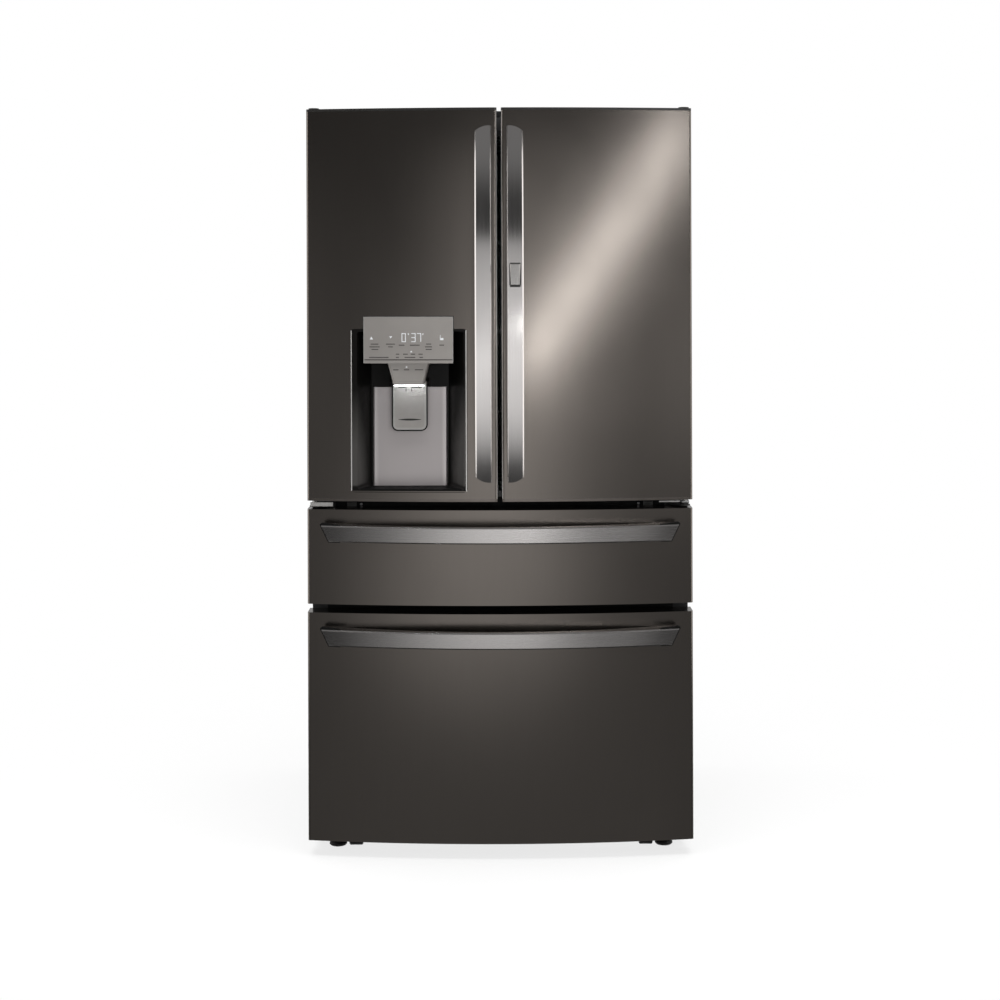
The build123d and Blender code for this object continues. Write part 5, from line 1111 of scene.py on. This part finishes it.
# Condenser and evaporator: aluminium fins pressed on tubes and left as rolled, so that they are bright,
# with fine upright streaks.
coil_aluminium = coat(
    "coil_aluminium", gloss=((300, 300, 20), 0.32, 0.5), texture=((400, 400, 30), 0.0002, 0.3),
    tones=(20, (0.55, 0.56, 0.57), (0.68, 0.69, 0.7)), metallic=1.0,
)
dress(coil_aluminium, "condenser", "evaporator")


# Legs and rollers: moulded dark nylon on steel pins. The legs screw into the base frame and level the
# case, and the rollers turn in its ears.
foot_plastic = coat(
    "foot_plastic", gloss=(250, 0.42, 0.62), texture=(900, 0.0002, 0.4),
    tones=(60, (0.016, 0.016, 0.017), (0.026, 0.026, 0.027)),
)
dress(foot_plastic, "leg_left", "leg_right", "front_rollers", "rear_rollers")


# Studio floor: a pale disc of painted board that catches a faint shadow and fades into the white
# background within two metres.
def board(name, corners):
    """A flat piece of the studio, from its corners in order."""
    mesh = bpy.data.meshes.new(name)
    mesh.from_pydata(corners, [], [list(range(len(corners)))])
    piece = bpy.data.objects.new(name, mesh)
    bpy.context.scene.collection.objects.link(piece)
    return piece


FLOOR_RADIUS = 5.0
FLOOR_Z = -0.0005
FLOOR_STEPS = 96
FADE_START = 0.6
FADE_END = 1.8
FLOOR_SHOWN = 0.22
floor_turn = np.linspace(0, 2 * np.pi, FLOOR_STEPS, endpoint=False)
floor_x = FLOOR_RADIUS * np.cos(floor_turn)
floor_y = FLOOR_RADIUS * np.sin(floor_turn)
floor = board("floor", np.stack([floor_x, floor_y, np.full_like(floor_x, FLOOR_Z)], -1).tolist())
floor.visible_glossy = False
floor_paint, tree, shader = new_finish("floor_paint", (0.9, 0.9, 0.9), 0.7)
tint(tree, shader, grain(tree, 2), (0.88, 0.88, 0.88), (0.92, 0.92, 0.92))
place = tree.nodes.new("ShaderNodeTexCoord")
reach = tree.nodes.new("ShaderNodeVectorMath")
reach.operation = "LENGTH"
tree.links.new(place.outputs["Object"], reach.inputs[0])
fade = passage(tree, reach.outputs["Value"], FADE_START, FADE_END, FLOOR_SHOWN, 0.0, "SMOOTHSTEP")
tree.links.new(fade, shader.inputs["Alpha"])
floor.data.materials.append(floor_paint)


# Front light card: a broad sheet before the fronts that glows in soft spots, which the steel mirrors as
# sheens. Its glow ends softly at the height of the door tops, and it casts no shadow.
CARD_Y = -1.95
CARD_LOW = -0.44
CARD_HIGH = 2.16
CARD_HALF = 1.9
CARD_FADE_START = 1.72
CARD_FADE_END = 1.82


def soft_spot(tree, centre, halves, strength, edge=1.0):
    """Light that falls off as a bell along X and Z from its centre on the card, to a half at the half
    widths, with a flatter top and steeper flanks for a higher edge number."""
    place = tree.nodes.new("ShaderNodeTexCoord")
    shift = tree.nodes.new("ShaderNodeMapping")
    shift.vector_type = "TEXTURE"
    shift.inputs["Location"].default_value = (centre[0], CARD_Y, centre[1])
    shift.inputs["Scale"].default_value = (halves[0], 1.0, halves[1])
    reach = tree.nodes.new("ShaderNodeVectorMath")
    reach.operation = "DOT_PRODUCT"
    tree.links.new(place.outputs["Object"], shift.inputs["Vector"])
    tree.links.new(shift.outputs["Vector"], reach.inputs[0])
    tree.links.new(shift.outputs["Vector"], reach.inputs[1])
    fall = joined(tree, "POWER", 0.5, joined(tree, "POWER", reach.outputs["Value"], edge))
    return joined(tree, "MULTIPLY", fall, strength)


card = board("front_card", [
    (CARD_HALF, CARD_Y, CARD_LOW),
    (-CARD_HALF, CARD_Y, CARD_LOW),
    (-CARD_HALF, CARD_Y, CARD_HIGH),
    (CARD_HALF, CARD_Y, CARD_HIGH),
])
card.visible_camera = False
card.visible_shadow = False
card_light = bpy.data.materials.new("card_light")
card_light.use_nodes = True
tree = card_light.node_tree
tree.nodes.clear()
freezer_sheen = soft_spot(tree, (-0.16, 0.37), (0.62, 0.31), 0.44, edge=2.0)
drawer_sheen = soft_spot(tree, (-0.05, 0.8), (0.5, 0.42), 0.5)
door_sheen = soft_spot(tree, (0.0, 1.5), (0.26, 0.5), 0.58)
gap_sheen = soft_spot(tree, (-0.04, 0.86), (0.3, 0.16), 0.4)
right_glint = soft_spot(tree, (1.2, 1.1), (0.18, 0.3), 0.5)
right_sheen = soft_spot(tree, (0.75, 1.05), (0.4, 0.25), 0.15)
left_glint = soft_spot(tree, (-1.25, 1.2), (0.14, 0.42), 0.16)
spots = freezer_sheen
for spot in (drawer_sheen, door_sheen, gap_sheen, right_glint, right_sheen, left_glint):
    spots = joined(tree, "ADD", spots, spot)
under_edge = step_along(tree, "Z", CARD_FADE_END, CARD_FADE_START)
glow = tree.nodes.new("ShaderNodeEmission")
tree.links.new(joined(tree, "MULTIPLY", spots, under_edge), glow.inputs["Strength"])
through = tree.nodes.new("ShaderNodeBsdfTransparent")
both = tree.nodes.new("ShaderNodeAddShader")
tree.links.new(glow.outputs["Emission"], both.inputs[0])
tree.links.new(through.outputs["BSDF"], both.inputs[1])
shown = tree.nodes.new("ShaderNodeOutputMaterial")
tree.links.new(both.outputs["Shader"], shown.inputs["Surface"])
card.data.materials.append(card_light)


# Side cards: two bright upright sheets left and right of the camera, which draw the light lines along
# the edges of the handles. Only mirrored light shows them.
SIDE_X = 2.2
SIDE_FRONT = -1.9
SIDE_BACK = -0.2
SIDE_LOW = 0.1
SIDE_HIGH = 2.3
side_glow, tree, shader = new_finish("side_glow", (0.0, 0.0, 0.0), 0.5)
shader.inputs["Emission Color"].default_value = (1.0, 0.98, 0.96, 1.0)
shader.inputs["Emission Strength"].default_value = 2.0
for side_name, x in (("left_card", -SIDE_X), ("right_card", SIDE_X)):
    side_card = board(side_name, [
        (x, SIDE_FRONT, SIDE_LOW),
        (x, SIDE_BACK, SIDE_LOW),
        (x, SIDE_BACK, SIDE_HIGH),
        (x, SIDE_FRONT, SIDE_HIGH),
    ])
    side_card.data.materials.append(side_glow)
    side_card.visible_camera = False
    side_card.visible_shadow = False
    side_card.visible_diffuse = False


# Lamps: a broad soft panel overhead, and a narrow slanted one before the right door, which makes the long
# sheen across it. The camera sees neither.
def area_light(name, place, turn, size, power):
    """A soft rectangular lamp that the camera does not see."""
    lamp_data = bpy.data.lights.new(name, "AREA")
    lamp_data.shape = "RECTANGLE"
    lamp_data.size, lamp_data.size_y = size
    lamp_data.energy = power
    lamp_object = bpy.data.objects.new(name, lamp_data)
    lamp_object.location = place
    lamp_object.rotation_euler = turn
    lamp_object.visible_camera = False
    bpy.context.scene.collection.objects.link(lamp_object)
    return lamp_object


SLANT = math.radians(38)
UPRIGHT = math.radians(90)
overhead = area_light("overhead", (0.0, -0.6, 3.6), (0.0, 0.0, 0.0), (4.0, 3.0), 230)
overhead.visible_glossy = False
area_light("slanted", (0.65, -1.93, 1.485), (UPRIGHT, -SLANT, 0.0), (1.3, 0.14), 5.0)


# Sky: soft light that changes with the height and to the sides, which the steel mirrors between the
# cards. The camera itself sees plain white.
world = bpy.data.worlds.new("studio")
bpy.context.scene.world = world
world.use_nodes = True
tree = world.node_tree
tree.nodes.clear()
place = tree.nodes.new("ShaderNodeTexCoord")
axes = tree.nodes.new("ShaderNodeSeparateXYZ")
tree.links.new(place.outputs["Generated"], axes.inputs["Vector"])
aside = joined(tree, "ABSOLUTE", axes.outputs["X"])
below = passage(tree, axes.outputs["Z"], -0.5, -0.36, 0.05, 0.32, "SMOOTHSTEP")
level = passage(tree, axes.outputs["Z"], -0.3, 0.25, 1.0, 0.22, "SMOOTHSTEP")
above = passage(tree, axes.outputs["Z"], 0.33, 0.47, 0.0, 0.23, "SMOOTHSTEP")
ahead = passage(tree, aside, 0.4, 0.55, 1.0, 0.1, "SMOOTHSTEP")
far_aside = passage(tree, aside, 0.6, 0.75, 0.0, 0.8, "SMOOTHSTEP")
behind = passage(tree, axes.outputs["Y"], -0.05, 0.6, 0.0, 0.6, "SMOOTHSTEP")
heights = joined(tree, "ADD", joined(tree, "MULTIPLY", below, level), above)
front = joined(tree, "MULTIPLY", heights, joined(tree, "ADD", ahead, far_aside))
studio = tree.nodes.new("ShaderNodeBackground")
tree.links.new(joined(tree, "ADD", front, behind), studio.inputs["Strength"])
white = tree.nodes.new("ShaderNodeBackground")
white.inputs["Color"].default_value = (1.0, 1.0, 1.0, 1.0)
ray = tree.nodes.new("ShaderNodeLightPath")
choice = tree.nodes.new("ShaderNodeMixShader")
tree.links.new(ray.outputs["Is Camera Ray"], choice.inputs["Fac"])
tree.links.new(studio.outputs["Background"], choice.inputs[1])
tree.links.new(white.outputs["Background"], choice.inputs[2])
shown = tree.nodes.new("ShaderNodeOutputWorld")
tree.links.new(choice.outputs["Shader"], shown.inputs["Surface"])


# Camera: level and square to the front, at about three quarters of the height, as the photograph was
# taken, with the lens shifted down and the small roll that the photograph shows.
CAMERA_PLACE = (0.0, -4.823, 1.347)
CAMERA_ROLL = math.radians(0.19)
camera_data = bpy.data.cameras.new("camera")
camera_data.lens = 68.2
camera_data.sensor_width = 36
camera_data.shift_x = 0.0008
camera_data.shift_y = -0.2164
camera = bpy.data.objects.new("camera", camera_data)
camera.location = CAMERA_PLACE
camera.rotation_euler = (UPRIGHT, CAMERA_ROLL, 0.0)
bpy.context.scene.collection.objects.link(camera)
bpy.context.scene.camera = camera
bpy.context.scene.view_settings.view_transform = "Standard"
